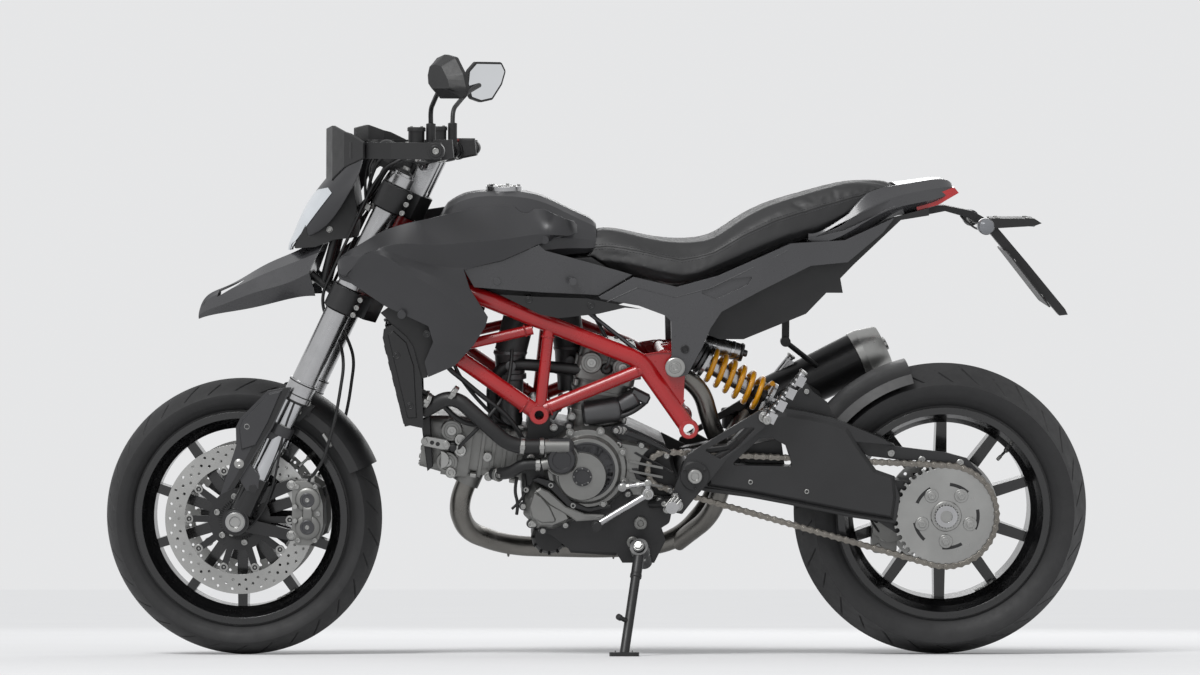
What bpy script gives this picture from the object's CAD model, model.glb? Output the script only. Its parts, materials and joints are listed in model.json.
"""Looks of a supermoto motorcycle parked on its side stand.

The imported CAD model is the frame.  Places are written in millimetres on the upright machine
(+X forward, +Y left, +Z up, origin where the rear tyre touches the ground) and are carried to
the parked machine by the matrices CHASSIS and STEERED, which come from the wheels' joints.
"""
import json
import math

import bmesh
import bpy
from mathutils import Matrix, Vector


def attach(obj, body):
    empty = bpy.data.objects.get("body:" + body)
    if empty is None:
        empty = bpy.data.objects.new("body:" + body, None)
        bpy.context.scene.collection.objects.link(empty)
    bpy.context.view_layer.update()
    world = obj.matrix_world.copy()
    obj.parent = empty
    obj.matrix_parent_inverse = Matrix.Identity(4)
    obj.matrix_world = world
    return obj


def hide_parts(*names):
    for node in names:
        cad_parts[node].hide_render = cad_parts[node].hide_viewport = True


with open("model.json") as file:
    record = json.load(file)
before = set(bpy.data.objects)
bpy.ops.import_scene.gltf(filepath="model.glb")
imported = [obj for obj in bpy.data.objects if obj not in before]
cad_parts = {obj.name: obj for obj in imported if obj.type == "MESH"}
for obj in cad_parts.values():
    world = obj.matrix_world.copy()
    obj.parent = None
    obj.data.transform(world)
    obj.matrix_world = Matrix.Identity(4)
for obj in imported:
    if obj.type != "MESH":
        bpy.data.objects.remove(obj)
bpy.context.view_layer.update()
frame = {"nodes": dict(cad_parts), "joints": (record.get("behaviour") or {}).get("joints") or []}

# ------------------------------------------------------------------ the parked machine
RAKE = math.radians(25.5)
FRONT_AXLE = Vector((1500, 0, 298))
REAR_AXLE = Vector((0, 0, 317))
STEER_UP = Vector((-math.sin(RAKE), 0, math.cos(RAKE)))
STEER_AHEAD = Vector((math.cos(RAKE), 0, math.sin(RAKE)))
JOINTS = {joint["name"]: joint for joint in frame["joints"]}


def columns(*vectors):
    """Matrix whose columns are these vectors."""
    return Matrix(vectors).transposed()


def machine_matrix(wheel_joint, axle):
    """From the upright machine in millimetres to the parked one in metres, by a wheel's joint."""
    across = Vector(JOINTS[wheel_joint]["axis"])
    up = Vector(JOINTS["steering_turn"]["axis"])
    parked = columns(across.cross(up), across, up)
    upright = columns(STEER_AHEAD, Vector((0, 1, 0)), STEER_UP)
    turn = (parked @ upright.transposed()).to_4x4()
    place = Matrix.Translation(Vector(JOINTS[wheel_joint]["pos_m"]))
    return place @ turn @ Matrix.Scale(0.001, 4) @ Matrix.Translation(-axle)


CHASSIS = machine_matrix("rear_wheel_spin", REAR_AXLE)
STEERED = machine_matrix("front_wheel_spin", FRONT_AXLE)

# ------------------------------------------------------------------ materials


class Nodes:
    """Builder of one material's node tree round a Principled shader."""

    def __init__(self, name):
        self.material = bpy.data.materials.new(name)
        self.material.use_nodes = True
        self.tree = self.material.node_tree
        self.shader = self.tree.nodes["Principled BSDF"]
        self.place = self.add("ShaderNodeTexCoord").outputs["Object"]

    def add(self, kind, **settings):
        node = self.tree.nodes.new(kind)
        for key, value in settings.items():
            setattr(node, key, value)
        return node

    def link(self, output, socket):
        self.tree.links.new(output, socket)

    def noise(self, scale, detail, roughness=0.55):
        """Noise over the object's own coordinates, in features per metre."""
        node = self.add("ShaderNodeTexNoise")
        node.inputs["Scale"].default_value = scale
        node.inputs["Detail"].default_value = detail
        node.inputs["Roughness"].default_value = roughness
        self.link(self.place, node.inputs["Vector"])
        return node.outputs["Fac"]

    def spread(self, value, low, high, start=0.3, end=0.7):
        """Noise value stretched to the range low..high."""
        node = self.add("ShaderNodeMapRange")
        node.inputs["From Min"].default_value = start
        node.inputs["From Max"].default_value = end
        node.inputs["To Min"].default_value = low
        node.inputs["To Max"].default_value = high
        self.link(value, node.inputs["Value"])
        return node.outputs["Result"]

    def mix(self, share, first, second):
        """Colour between two colours or colour outputs."""
        node = self.add("ShaderNodeMix", data_type="RGBA")
        self.link(share, node.inputs["Factor"])
        for socket, colour in ((node.inputs[6], first), (node.inputs[7], second)):
            if isinstance(colour, tuple):
                socket.default_value = (*colour, 1)
            else:
                self.link(colour, socket)
        return node.outputs[2]

    def along(self, point, axis):
        """How far the surface lies past a point along an axis, in metres."""
        from_point = self.add("ShaderNodeVectorMath", operation="SUBTRACT")
        self.link(self.place, from_point.inputs[0])
        from_point.inputs[1].default_value = point
        share = self.add("ShaderNodeVectorMath", operation="DOT_PRODUCT")
        self.link(from_point.outputs["Vector"], share.inputs[0])
        share.inputs[1].default_value = axis
        return share.outputs["Value"]

    def away(self, point, axis):
        """How far the surface lies from an axis through a point, in metres."""
        from_point = self.add("ShaderNodeVectorMath", operation="SUBTRACT")
        self.link(self.place, from_point.inputs[0])
        from_point.inputs[1].default_value = point
        moment = self.add("ShaderNodeVectorMath", operation="CROSS_PRODUCT")
        self.link(from_point.outputs["Vector"], moment.inputs[0])
        moment.inputs[1].default_value = axis
        length = self.add("ShaderNodeVectorMath", operation="LENGTH")
        self.link(moment.outputs["Vector"], length.inputs[0])
        return length.outputs["Value"]

    def math(self, operation, first, second):
        """Result of an operation on a value and a value or a number."""
        node = self.add("ShaderNodeMath", operation=operation)
        self.link(first, node.inputs[0])
        if isinstance(second, float):
            node.inputs[1].default_value = second
        else:
            self.link(second, node.inputs[1])
        return node.outputs["Value"]

    def soft_edges(self, radius):
        """Normal with the edges rounded to a radius in metres."""
        node = self.add("ShaderNodeBevel", samples=4)
        node.inputs["Radius"].default_value = radius
        return node.outputs["Normal"]

    def bump(self, height, distance, normal):
        """Normal shifted by a height map, its height in metres, on top of another normal or none."""
        node = self.add("ShaderNodeBump")
        node.inputs["Distance"].default_value = distance
        self.link(height, node.inputs["Height"])
        if normal is not None:
            self.link(normal, node.inputs["Normal"])
        return node.outputs["Normal"]


def tone(red, green, blue):
    """Linear colour of an sRGB colour given in 0..255."""
    def linear(value):
        value /= 255
        return value / 12.92 if value <= 0.04045 else ((value + 0.055) / 1.055) ** 2.4
    return linear(red), linear(green), linear(blue)


def scaled(colour, share):
    """Colour made lighter or darker, no channel above 1."""
    return tuple(min(1.0, channel * share) for channel in colour)


def finish(name, colour, rough, metal=0.0, grain=0.0, grain_size=0.4, drift=0.12, edge=1.2,
           coat=0.0, coat_rough=0.1, coated=None):
    """Surface finish: its colour and roughness drift a little, its grain is a fine bump.

    rough is a range of roughness, grain the bump's height in millimetres, grain_size the size
    of its bumps in millimetres, and edge the radius of the rounded edges in millimetres.  Where
    coated(nodes) gives 1, the metal is under black paint.
    """
    n = Nodes(name)
    cloud = n.noise(9.0, 4.0)
    shade = n.mix(n.spread(cloud, 0, 1), scaled(colour, 1 - drift), scaled(colour, 1 + drift))
    smudge = n.noise(34.0, 5.0, 0.65)
    n.shader.inputs["Metallic"].default_value = metal
    if coated:
        paint = coated(n)
        shade = n.mix(paint, shade, PAINT)
        n.link(n.spread(paint, metal, 0.0, 0, 1), n.shader.inputs["Metallic"])
    n.link(shade, n.shader.inputs["Base Color"])
    n.link(n.spread(smudge, *rough), n.shader.inputs["Roughness"])
    n.shader.inputs["Coat Weight"].default_value = coat
    n.shader.inputs["Coat Roughness"].default_value = coat_rough
    normal = n.soft_edges(edge / 1000) if edge else None
    if grain:
        fine = n.noise(1000 / grain_size, 2.0, 0.5)
        normal = n.bump(fine, grain / 1000, normal)
    if normal is not None:
        n.link(normal, n.shader.inputs["Normal"])
    return n.material


PAINT = tone(26, 26, 27)
MATERIALS = {
    "red_frame": finish("red_powder_coat", tone(158, 14, 19), (0.24, 0.34), grain=0.02, grain_size=1.5,
                        coat=0.5, coat_rough=0.12),
    "body_grey": finish("charcoal_satin_paint", tone(50, 50, 52), (0.34, 0.44), metal=0.1, grain=0.006,
                        grain_size=0.6, edge=1.8, drift=0.06),
    "body_light": finish("charcoal_gloss_paint", tone(58, 58, 60), (0.24, 0.32), metal=0.1, grain=0.004,
                         grain_size=0.6, edge=1.8, drift=0.05, coat=0.4),
    "black_plastic": finish("black_moulding", tone(20, 20, 21), (0.4, 0.52), grain=0.05, grain_size=0.9),
    "dark_plastic": finish("grey_moulding", tone(30, 30, 31), (0.44, 0.58), grain=0.06, grain_size=1.1),
    "seat_cover": finish("seat_vinyl", tone(27, 27, 28), (0.46, 0.58), grain=0.12, grain_size=1.6),
    "tyre": finish("tyre_rubber", tone(27, 27, 28), (0.58, 0.72), grain=0.05, grain_size=1.2, drift=0.18),
    "rubber": finish("hose_rubber", tone(18, 18, 19), (0.4, 0.54), grain=0.04, grain_size=1.4),
    "wheel_black": finish("wheel_lacquer", tone(13, 13, 14), (0.2, 0.3), grain=0.01, grain_size=1.2,
                          coat=0.5, edge=2.0),
    "steel": finish("ground_steel", tone(160, 160, 158), (0.26, 0.4), metal=1.0, grain=0.008, edge=0.6),
    "chrome": finish("hard_chrome", tone(190, 191, 193), (0.08, 0.16), metal=1.0, edge=0.6),
    "fork_silver": finish("silver_anodising", tone(176, 176, 177), (0.2, 0.3), metal=1.0, grain=0.004,
                          edge=0.8),
    "cast_aluminium": finish("cast_aluminium", tone(126, 126, 124), (0.36, 0.5), metal=0.9, grain=0.09,
                             grain_size=1.3, edge=1.6),
    "swingarm_grey": finish("swingarm_coat", tone(36, 36, 37), (0.34, 0.46), metal=0.1, grain=0.03,
                            grain_size=1.2, edge=2.5),
    "engine_black": finish("engine_coat", tone(27, 27, 28), (0.36, 0.5), metal=0.1, grain=0.08,
                           grain_size=1.2, edge=1.6),
    "spring_yellow": finish("spring_yellow", tone(232, 160, 8), (0.24, 0.34), grain=0.01, grain_size=1.2,
                            coat=0.4),
    "lens_clear": finish("lens_clear", tone(210, 214, 218), (0.05, 0.1), metal=0.2, edge=0.6),
    "lens_red": finish("lens_red", tone(170, 14, 18), (0.06, 0.12), edge=0.6, coat=0.6),
    "muffler_steel": finish("brushed_steel", tone(120, 118, 114), (0.24, 0.4), metal=1.0, grain=0.01,
                            edge=0.8),
    "chain_steel": finish("chain_steel", tone(128, 124, 118), (0.28, 0.42), metal=1.0, grain=0.01, edge=0.4),
    "dark_steel": finish("dark_steel", tone(84, 84, 86), (0.3, 0.44), metal=0.9, grain=0.02, edge=0.6),
    "dark_alloy": finish("dark_alloy", tone(86, 86, 87), (0.34, 0.5), metal=0.8, grain=0.05, grain_size=1.2),
    "engine_coat_light": finish("engine_coat_light", tone(46, 46, 48), (0.34, 0.48), metal=0.2, grain=0.06,
                                grain_size=1.2),
    "lamp_glass": finish("lamp_glass", tone(226, 230, 234), (0.04, 0.08), metal=0.6, edge=0.4),
    "lamp_chrome": finish("lamp_chrome", tone(214, 216, 218), (0.1, 0.16), metal=1.0, edge=0.4),
    "lens_red_deep": finish("lens_red_deep", tone(120, 8, 12), (0.08, 0.14), edge=0.4),
    "indicator_glass": finish("indicator_glass", tone(120, 122, 126), (0.06, 0.12), metal=0.3, edge=0.5,
                              coat=0.5),
    "dash_glass": finish("dash_glass", tone(44, 47, 50), (0.05, 0.1), metal=0.1, edge=0.3, coat=0.6),
    "mirror_glass": finish("mirror_glass", tone(222, 224, 226), (0.02, 0.05), metal=1.0, edge=0.2,
                           drift=0.02),
    "muffler_black": finish("silencer_black", tone(28, 28, 29), (0.3, 0.42), metal=0.4, grain=0.02,
                            edge=1.0),
    "thread": finish("seat_thread", tone(52, 52, 54), (0.6, 0.72), grain=0.08, grain_size=0.8, edge=0.2),
}

for node in frame["nodes"].values():
    slot = node.data.materials[0].name.split(".")[0]
    node.data.materials[0] = MATERIALS[slot]


def on_node(node, place, vector=None):
    """A place of the upright machine, or a direction there, in a node's own coordinates."""
    home = frame["nodes"][node].matrix_world.inverted() @ STEERED
    return home @ place if vector is None else (home.to_3x3() @ vector).normalized()


# Where the zones of some materials end, in metres from a place on the piece
CARRIER_RADIUS = 0.1045
FOOT_TOP, FOOT_BACK = 0.1045, -0.0225
STRIP_BACK = -0.012
RISER_TOP = -0.010


def disc_carrier(n):
    """1 on the carrier inside the front discs' rings."""
    centre, axis = on_node("front_discs", FRONT_AXLE), on_node("front_discs", FRONT_AXLE, Vector((0, 1, 0)))
    return n.math("LESS_THAN", n.away(centre, axis), CARRIER_RADIUS)


def fork_foot(n):
    """1 on the feet of the fork legs and on their caliper lugs."""
    centre = on_node("fork_legs", FRONT_AXLE)
    low = n.math("LESS_THAN", n.along(centre, on_node("fork_legs", FRONT_AXLE, STEER_UP)), FOOT_TOP)
    back = n.math("LESS_THAN", n.along(centre, on_node("fork_legs", FRONT_AXLE, STEER_AHEAD)), FOOT_BACK)
    return n.math("MAXIMUM", low, back)


def lamp_back(n):
    """1 on the dark glass behind the headlight's bright front strip."""
    front = on_node("headlight_lens", Vector((1404, 0, 875)))
    ahead = on_node("headlight_lens", front, Vector((0.805, 0, 0.593)))
    return n.math("LESS_THAN", n.along(front, ahead), STRIP_BACK)


def bar_tube(n):
    """1 on the bar above its bright risers."""
    seat = on_node("handlebar", Vector((1113, 0, 1090)))
    return n.math("GREATER_THAN", n.along(seat, on_node("handlebar", seat, STEER_UP)), RISER_TOP)


frame["nodes"]["headlight_lens"].data.materials[0] = finish(
    "headlight_glass", tone(206, 210, 214), (0.05, 0.1), metal=0.5, edge=0.6, coated=lamp_back)
frame["nodes"]["handlebar"].data.materials[0] = finish(
    "handlebar_metal", tone(176, 176, 177), (0.22, 0.32), metal=1.0, edge=1.0, coated=bar_tube)
frame["nodes"]["front_discs"].data.materials[0] = finish(
    "ground_discs", tone(168, 168, 166), (0.24, 0.36), metal=1.0, grain=0.01, edge=0.5, coated=disc_carrier)
frame["nodes"]["fork_legs"].data.materials[0] = finish(
    "fork_leg_metal", tone(190, 191, 193), (0.1, 0.2), metal=1.0, edge=0.8, coated=fork_foot)
frame["nodes"]["muffler"].data.materials[0] = MATERIALS["muffler_black"]

# ------------------------------------------------------------------ forms drawn in millimetres
LEFT, RIGHT, UP = (0, 1, 0), (0, -1, 0), (0, 0, 1)
STEERED_BODIES = ("steering", "front_wheel")
SIDE_NAMES = {-1: "right", 1: "left"}


def turns(count, start=0.0):
    """Evenly spaced angles once round, in radians."""
    return [start + 2 * math.pi * k / count for k in range(count)]


def square_to(axis):
    """Two directions square to an axis and to each other."""
    helper = Vector(UP) if abs(axis.z) < 0.9 * axis.length else Vector((1, 0, 0))
    first = axis.cross(helper).normalized()
    return first, axis.cross(first).normalized()


def inset(outline, by):
    """Outline of (x, z) points drawn in by a distance, corner by corner."""
    area = sum(a[0] * b[1] - b[0] * a[1] for a, b in zip(outline, outline[1:] + outline[:1]))
    inward = by if area > 0 else -by
    drawn = []
    for before, here, after in zip(outline[-1:] + outline[:-1], outline, outline[1:] + outline[:1]):
        back = Vector((here[0] - before[0], here[1] - before[1])).normalized()
        ahead = Vector((after[0] - here[0], after[1] - here[1])).normalized()
        normals = Vector((-back.y, back.x)), Vector((-ahead.y, ahead.x))
        middle = (normals[0] + normals[1]).normalized()
        reach = inward / max(0.4, middle.dot(normals[0]))
        drawn.append((here[0] + middle.x * reach, here[1] + middle.y * reach))
    return drawn


def polar(radius, turn, y=0.0):
    """Offset in side view, this far at an angle above forward, and y to the left."""
    return Vector((radius * math.cos(turn), y, radius * math.sin(turn)))


def side_arc(centre, radius, start, end, count):
    """Points (x, z) on an arc, its angles in degrees above forward."""
    angles = [math.radians(start + (end - start) * k / (count - 1)) for k in range(count)]
    return [(centre[0] + radius * math.cos(turn), centre[1] + radius * math.sin(turn)) for turn in angles]


class Form:
    """Mesh drawn on the upright machine in millimetres, then placed where the machine is parked."""

    def __init__(self):
        self.points = []
        self.faces = []

    def add(self, points, faces):
        first = len(self.points)
        self.points += [Vector(point) for point in points]
        self.faces += [[first + index for index in face] for face in faces]

    def skin(self, rings, closed=True, capped=True):
        """Skin over rings of equally many points."""
        count = len(rings[0])
        around = count if closed else count - 1
        faces = [(row * count + k, row * count + (k + 1) % count,
                  (row + 1) * count + (k + 1) % count, (row + 1) * count + k)
                 for row in range(len(rings) - 1) for k in range(around)]
        if capped:
            faces += [tuple(range(count)), tuple(range((len(rings) - 1) * count, len(rings) * count))]
        self.add([point for ring in rings for point in ring], faces)

    def turned(self, centre, axis, profile, sides):
        """Turned shape; the profile gives (along, radius) from one end to the other."""
        axis = Vector(axis).normalized()
        first, second = square_to(axis)
        spokes = [first * math.cos(turn) + second * math.sin(turn) for turn in turns(sides)]
        self.skin([[Vector(centre) + axis * along + spoke * radius for spoke in spokes]
                   for along, radius in profile])

    def bolt(self, centre, axis, radius, height):
        """Cap screw with a hollow in its head."""
        self.turned(centre, axis, [(-1, radius), (height - 0.15 * radius, radius), (height, 0.86 * radius),
                                   (height, 0.56 * radius), (0.25 * height, 0.52 * radius)], 12)

    def nut(self, centre, axis, radius, height):
        """Hexagon head on its flange."""
        self.turned(centre, axis, [(-1, 1.18 * radius), (0.16 * height, 1.18 * radius),
                                   (0.24 * height, radius)], 20)
        self.turned(centre, axis, [(0.2 * height, radius), (0.85 * height, radius), (height, 0.84 * radius),
                                   (height, 0.4 * radius), (0.9 * height, 0.34 * radius)], 6)

    def slab(self, outline, y_from, y_to, edge):
        """Side-view outline made solid between two side planes, its outer rim chamfered."""
        step = edge if y_to > y_from else -edge
        levels = [(outline, y_from), (outline, y_to - step), (inset(outline, edge), y_to)]
        self.skin([[(x, y, z) for x, z in ring] for ring, y in levels])

    def block(self, centre, along, up, size, edge):
        """Box with chamfered edges, its length along one direction and its height near another."""
        along = Vector(along).normalized()
        wide = along.cross(Vector(up)).normalized()
        high = wide.cross(along)
        long_half, wide_half, high_half = (value / 2 for value in size)
        corners = [(1, 1), (-1, 1), (-1, -1), (1, -1)]
        rings = []
        for at, less in ((-long_half, edge), (-long_half + edge, 0), (long_half - edge, 0),
                         (long_half, edge)):
            ring = []
            for a, b in corners:
                w, h = wide_half - less, high_half - less
                first, second = ((a * (w - edge), b * h), (a * w, b * (h - edge)))
                for x, z in ((first, second) if a * b < 0 else (second, first)):
                    ring.append(Vector(centre) + along * at + wide * x + high * z)
            rings.append(ring)
        self.skin(rings)

    def bead(self, route, radius):
        """Weld bead: a row of overlapping ripples along a route of points."""
        pitch = 0.8 * radius
        route = [Vector(point) for point in route]
        for start, end in zip(route, route[1:]):
            run = end - start
            count = max(1, round(run.length / pitch))
            for k in range(count):
                here = start + run * (k / count)
                self.turned(here, run, [(-0.55 * pitch, 0.72 * radius), (0, radius),
                                        (0.55 * pitch, 0.72 * radius)], 8)

    def ring_bead(self, centre, axis, ring_radius, radius):
        """Weld bead round a tube."""
        axis = Vector(axis).normalized()
        first, second = square_to(axis)
        around = [Vector(centre) + (first * math.cos(turn) + second * math.sin(turn)) * ring_radius
                  for turn in turns(28)]
        self.bead(around + around[:1], radius)

    def piece(self, name, slot, body="chassis", look=None):
        """The finished object, riding on its body."""
        place = STEERED if body in STEERED_BODIES else CHASSIS
        mesh = bpy.data.meshes.new(name)
        mesh.from_pydata([place @ point for point in self.points], [], self.faces)
        shell = bmesh.new()
        shell.from_mesh(mesh)
        bmesh.ops.recalc_face_normals(shell, faces=shell.faces)
        shell.to_mesh(mesh)
        shell.free()
        mesh.polygons.foreach_set("use_smooth", [True] * len(mesh.polygons))
        mesh.set_sharp_from_angle(angle=math.radians(33))
        mesh.materials.append(MATERIALS[look or slot])
        return placed(name, mesh, body)


def placed(name, data, body):
    """Object of this mesh or curve, riding on its body."""
    made = bpy.data.objects.new(name, data)
    bpy.context.scene.collection.objects.link(made)
    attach(made, body)
    return made


def hose(name, route, radius, body="chassis", slot="rubber", look=None):
    """Hose, cable or wire held at both ends, on one smooth curve."""
    place = STEERED if body in STEERED_BODIES else CHASSIS
    curve = bpy.data.curves.new(name, "CURVE")
    curve.dimensions = "3D"
    curve.bevel_depth = radius / 1000
    curve.bevel_resolution = 3
    curve.resolution_u = 6
    curve.use_fill_caps = True
    spline = curve.splines.new("NURBS")
    spline.points.add(len(route) - 1)
    for point, at in zip(spline.points, route):
        point.co = (*(place @ Vector(at)), 1)
    spline.order_u = 3
    spline.use_endpoint_u = True
    curve.materials.append(MATERIALS[look or slot])
    return placed(name, curve, body)

# ------------------------------------------------------------------ tyres and wheels
BEAD = 216.0
RIM_LIP = 12.5


def circle_arc(first, middle, last, count):
    """Points on the circle from the first point through the middle one to the last, in a plane."""
    (ax, ay), (bx, by), (cx, cy) = first, middle, last
    d = 2 * (ax * (by - cy) + bx * (cy - ay) + cx * (ay - by))
    a_square, b_square, c_square = ax * ax + ay * ay, bx * bx + by * by, cx * cx + cy * cy
    ux = (a_square * (by - cy) + b_square * (cy - ay) + c_square * (ay - by)) / d
    uy = (a_square * (cx - bx) + b_square * (ax - cx) + c_square * (bx - ax)) / d
    radius = math.hypot(ax - ux, ay - uy)
    start = math.atan2(ay - uy, ax - ux)
    through = math.atan2(by - uy, bx - ux)
    end = math.atan2(cy - uy, cx - ux)
    if not min(start, end) <= through <= max(start, end):
        end += 2 * math.pi if end < start else -2 * math.pi
    return [(ux + radius * math.cos(start + (end - start) * k / count),
             uy + radius * math.sin(start + (end - start) * k / count)) for k in range(count + 1)]


def tyre(name, body, centre, width, radius, rim_width, slant):
    """Road tyre with slanted grooves on both shoulders; its mesh columns follow the grooves.

    slant is how far a groove's outer end lies ahead of its inner end, in degrees.
    """
    half, seat = width / 2, rim_width / 2 - 6.3
    shoulder = BEAD + 0.62 * (radius - BEAD)
    foot = BEAD + RIM_LIP + 4
    bulge = half - 0.35 * (half - seat) + 3
    crown_steps = 26
    crown = circle_arc((0, radius), (0.72 * half, radius - 0.30 * half), (half, shoulder), crown_steps)
    flank = circle_arc((half, shoulder), (bulge, (shoulder + foot) / 2), (seat, foot), 14)
    right = crown + flank[1:] + [(seat, BEAD)]
    ridges = (29, 30, 35)
    numbered = list(enumerate(right))
    profile = [(-y, r, k) for k, (y, r) in reversed(numbered)] + [(y, r, k) for k, (y, r) in numbered[1:]]
    pitch, deep, wide = 24.0, 3.6, 0.42
    grooves = ((0.0, 1, 4, 21), (12.0, 1, 10, 22), (6.0, -1, 4, 21), (18.0, -1, 10, 22))
    columns = []
    for tooth in range(round(360 / pitch)):
        for start, side, first, last in grooves:
            for offset, sunk in ((-1.6 * wide, 0), (-wide, 1), (wide, 1), (1.6 * wide, 0), (2.4, 0),
                                 (3.7, 0)):
                columns.append((tooth * pitch + start + offset, side, first, last, sunk))
    columns.sort(key=lambda column: column[0])
    form = Form()
    rings = []
    for angle, side, first, last, sunk in columns:
        ring = []
        for y, r, k in profile:
            along = min(k, crown_steps) / crown_steps
            turn = math.radians(angle + slant * along ** 1.4)
            reach = r + (0.6 if k in ridges else 0)
            if sunk and y * side > 0 and first <= k <= last:
                reach -= deep * (0.55 if k in (first, last) else 1)
            ring.append((centre[0] + reach * math.cos(turn), y, centre[2] + reach * math.sin(turn)))
        rings.append(ring)
    form.skin(rings + rings[:1], closed=False, capped=False)
    made = form.piece(name, "tyre", body)
    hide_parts(name.replace("_tread", ""))


tyre("front_tyre_tread", "front_wheel", FRONT_AXLE, 120.0, 298.0, 96.0, -11.0)
tyre("rear_tyre_tread", "rear_wheel", REAR_AXLE, 180.0, 317.0, 148.0, 11.0)

# ------------------------------------------------------------------ chain and sprocket
PITCH = 15.875
CHAIN_Y = 112.0
REAR_TEETH, FRONT_TEETH = 43, 15
FRONT_SPROCKET = Vector((600, 0, 415))


def chain_pins():
    """Pin centres once round both sprockets."""
    rear_r = PITCH / 2 / math.sin(math.pi / REAR_TEETH)
    front_r = PITCH / 2 / math.sin(math.pi / FRONT_TEETH)
    line = FRONT_SPROCKET - REAR_AXLE
    slope = math.atan2(line.z, line.x)
    spread = math.asin((rear_r - front_r) / line.length)
    upper, lower = slope + math.pi / 2 - spread, slope - math.pi / 2 + spread

    def on(centre, radius, turn):
        return Vector((centre.x + radius * math.cos(turn), 0, centre.z + radius * math.sin(turn)))

    def run(start, end):
        count = 2 * round((end - start).length / PITCH / 2)
        return [start + (end - start) * (k / count) for k in range(count)]

    def wrap(centre, radius, begin, sweep):
        count = round(abs(sweep) * radius / PITCH)
        return [on(centre, radius, begin + sweep * k / count) for k in range(count)]

    pins = run(on(REAR_AXLE, rear_r, upper), on(FRONT_SPROCKET, front_r, upper))
    pins += wrap(FRONT_SPROCKET, front_r, upper, lower - upper)
    pins += run(on(FRONT_SPROCKET, front_r, lower), on(REAR_AXLE, rear_r, lower))
    pins += wrap(REAR_AXLE, rear_r, lower, upper - lower - 2 * math.pi)
    return pins[:len(pins) // 2 * 2]


def chain():
    """Roller chain: inner and outer links in turn, their plates waisted, with rollers and pin heads."""
    links, rollers = Form(), Form()
    pins = chain_pins()
    for k, (here, there) in enumerate(zip(pins, pins[1:] + pins[:1])):
        outer = k % 2
        along = (there - here).normalized()
        high = Vector((-along.z, 0, along.x))
        length = (there - here).length
        outline = []
        for pin, angles, waist in ((here, (90, 130, 180, 230, 270), -4.4),
                                   (there, (-90, -50, 0, 50, 90), 4.4)):
            for angle in angles:
                turn = math.radians(angle)
                outline.append(pin + along * 6.6 * math.cos(turn) + high * 6.6 * math.sin(turn))
            outline.append(here + along * (length / 2) + high * waist)
        flat = [(point.x, point.z) for point in outline]
        for side in (-1, 1):
            near = CHAIN_Y + side * (7.4 if outer else 5.0)
            links.slab(flat, near, near + side * 2.0, 0.6)
        if outer:
            for pin in (here, there):
                for side in (-1, 1):
                    links.turned((pin.x, CHAIN_Y + side * 9.0, pin.z), (0, side, 0),
                                 [(0, 2.6), (1.0, 2.6), (1.4, 1.8)], 10)
        rollers.turned((here.x, CHAIN_Y - 5.3, here.z), LEFT, [(0, 5.0), (10.6, 5.0)], 12)
    plates = links.piece("drive_chain_links", "steel", look="chain_steel")
    rollers.piece("drive_chain_rollers", "steel", look="chain_steel")
    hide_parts("drive_chain")


def sprocket_fittings():
    """Nuts, splined hub and hub nut in the middle of the rear sprocket."""
    bright, dark = Form(), Form()
    face = 115.5
    for turn in turns(5, -math.pi / 2):
        at = REAR_AXLE + polar(54, turn, face)
        bright.turned(at, LEFT, [(0, 15), (2.0, 15), (3.0, 14)], 24)
        bright.nut(at + Vector((0, 3, 0)), LEFT, 8.5, 7)
    middle = (REAR_AXLE.x, REAR_AXLE.z)
    for k in range(5):
        start, end = 72 * k + 24, 72 * k + 60
        slot = side_arc(middle, 72, start, end, 10) + side_arc(middle, 65, end, start, 10)
        dark.slab(slot, face - 1, face + 0.4, 0.2)
    hub = REAR_AXLE + Vector((0, face, 0))
    bright.turned(hub, LEFT, [(0, 33), (3, 33), (5, 31), (5, 27)], 48)
    for turn in turns(24):
        at = hub + polar(25.5, turn, 4.5)
        bright.turned(at, LEFT, [(0, 2.2), (5.5, 2.0), (6, 1.4)], 6)
    bright.piece("sprocket_nuts", "steel", "rear_wheel")
    dark.turned(hub, LEFT, [(4, 25), (8, 25), (9.5, 23.5), (9.5, 15), (3, 14.5)], 32)
    dark.piece("sprocket_hub_nut", "engine_black", "rear_wheel")


chain()
sprocket_fittings()

# ------------------------------------------------------------------ front wheel, brakes and fork
LEG_Y = 105.0
DISC_Y = 68.0


def up_leg(height, side, ahead=0.0, across=0.0):
    """Place on a fork leg, this far up from the axle, moved ahead of it and outwards."""
    return FRONT_AXLE + STEER_UP * height + STEER_AHEAD * ahead + Vector((0, side * (LEG_Y + across), 0))


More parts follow.
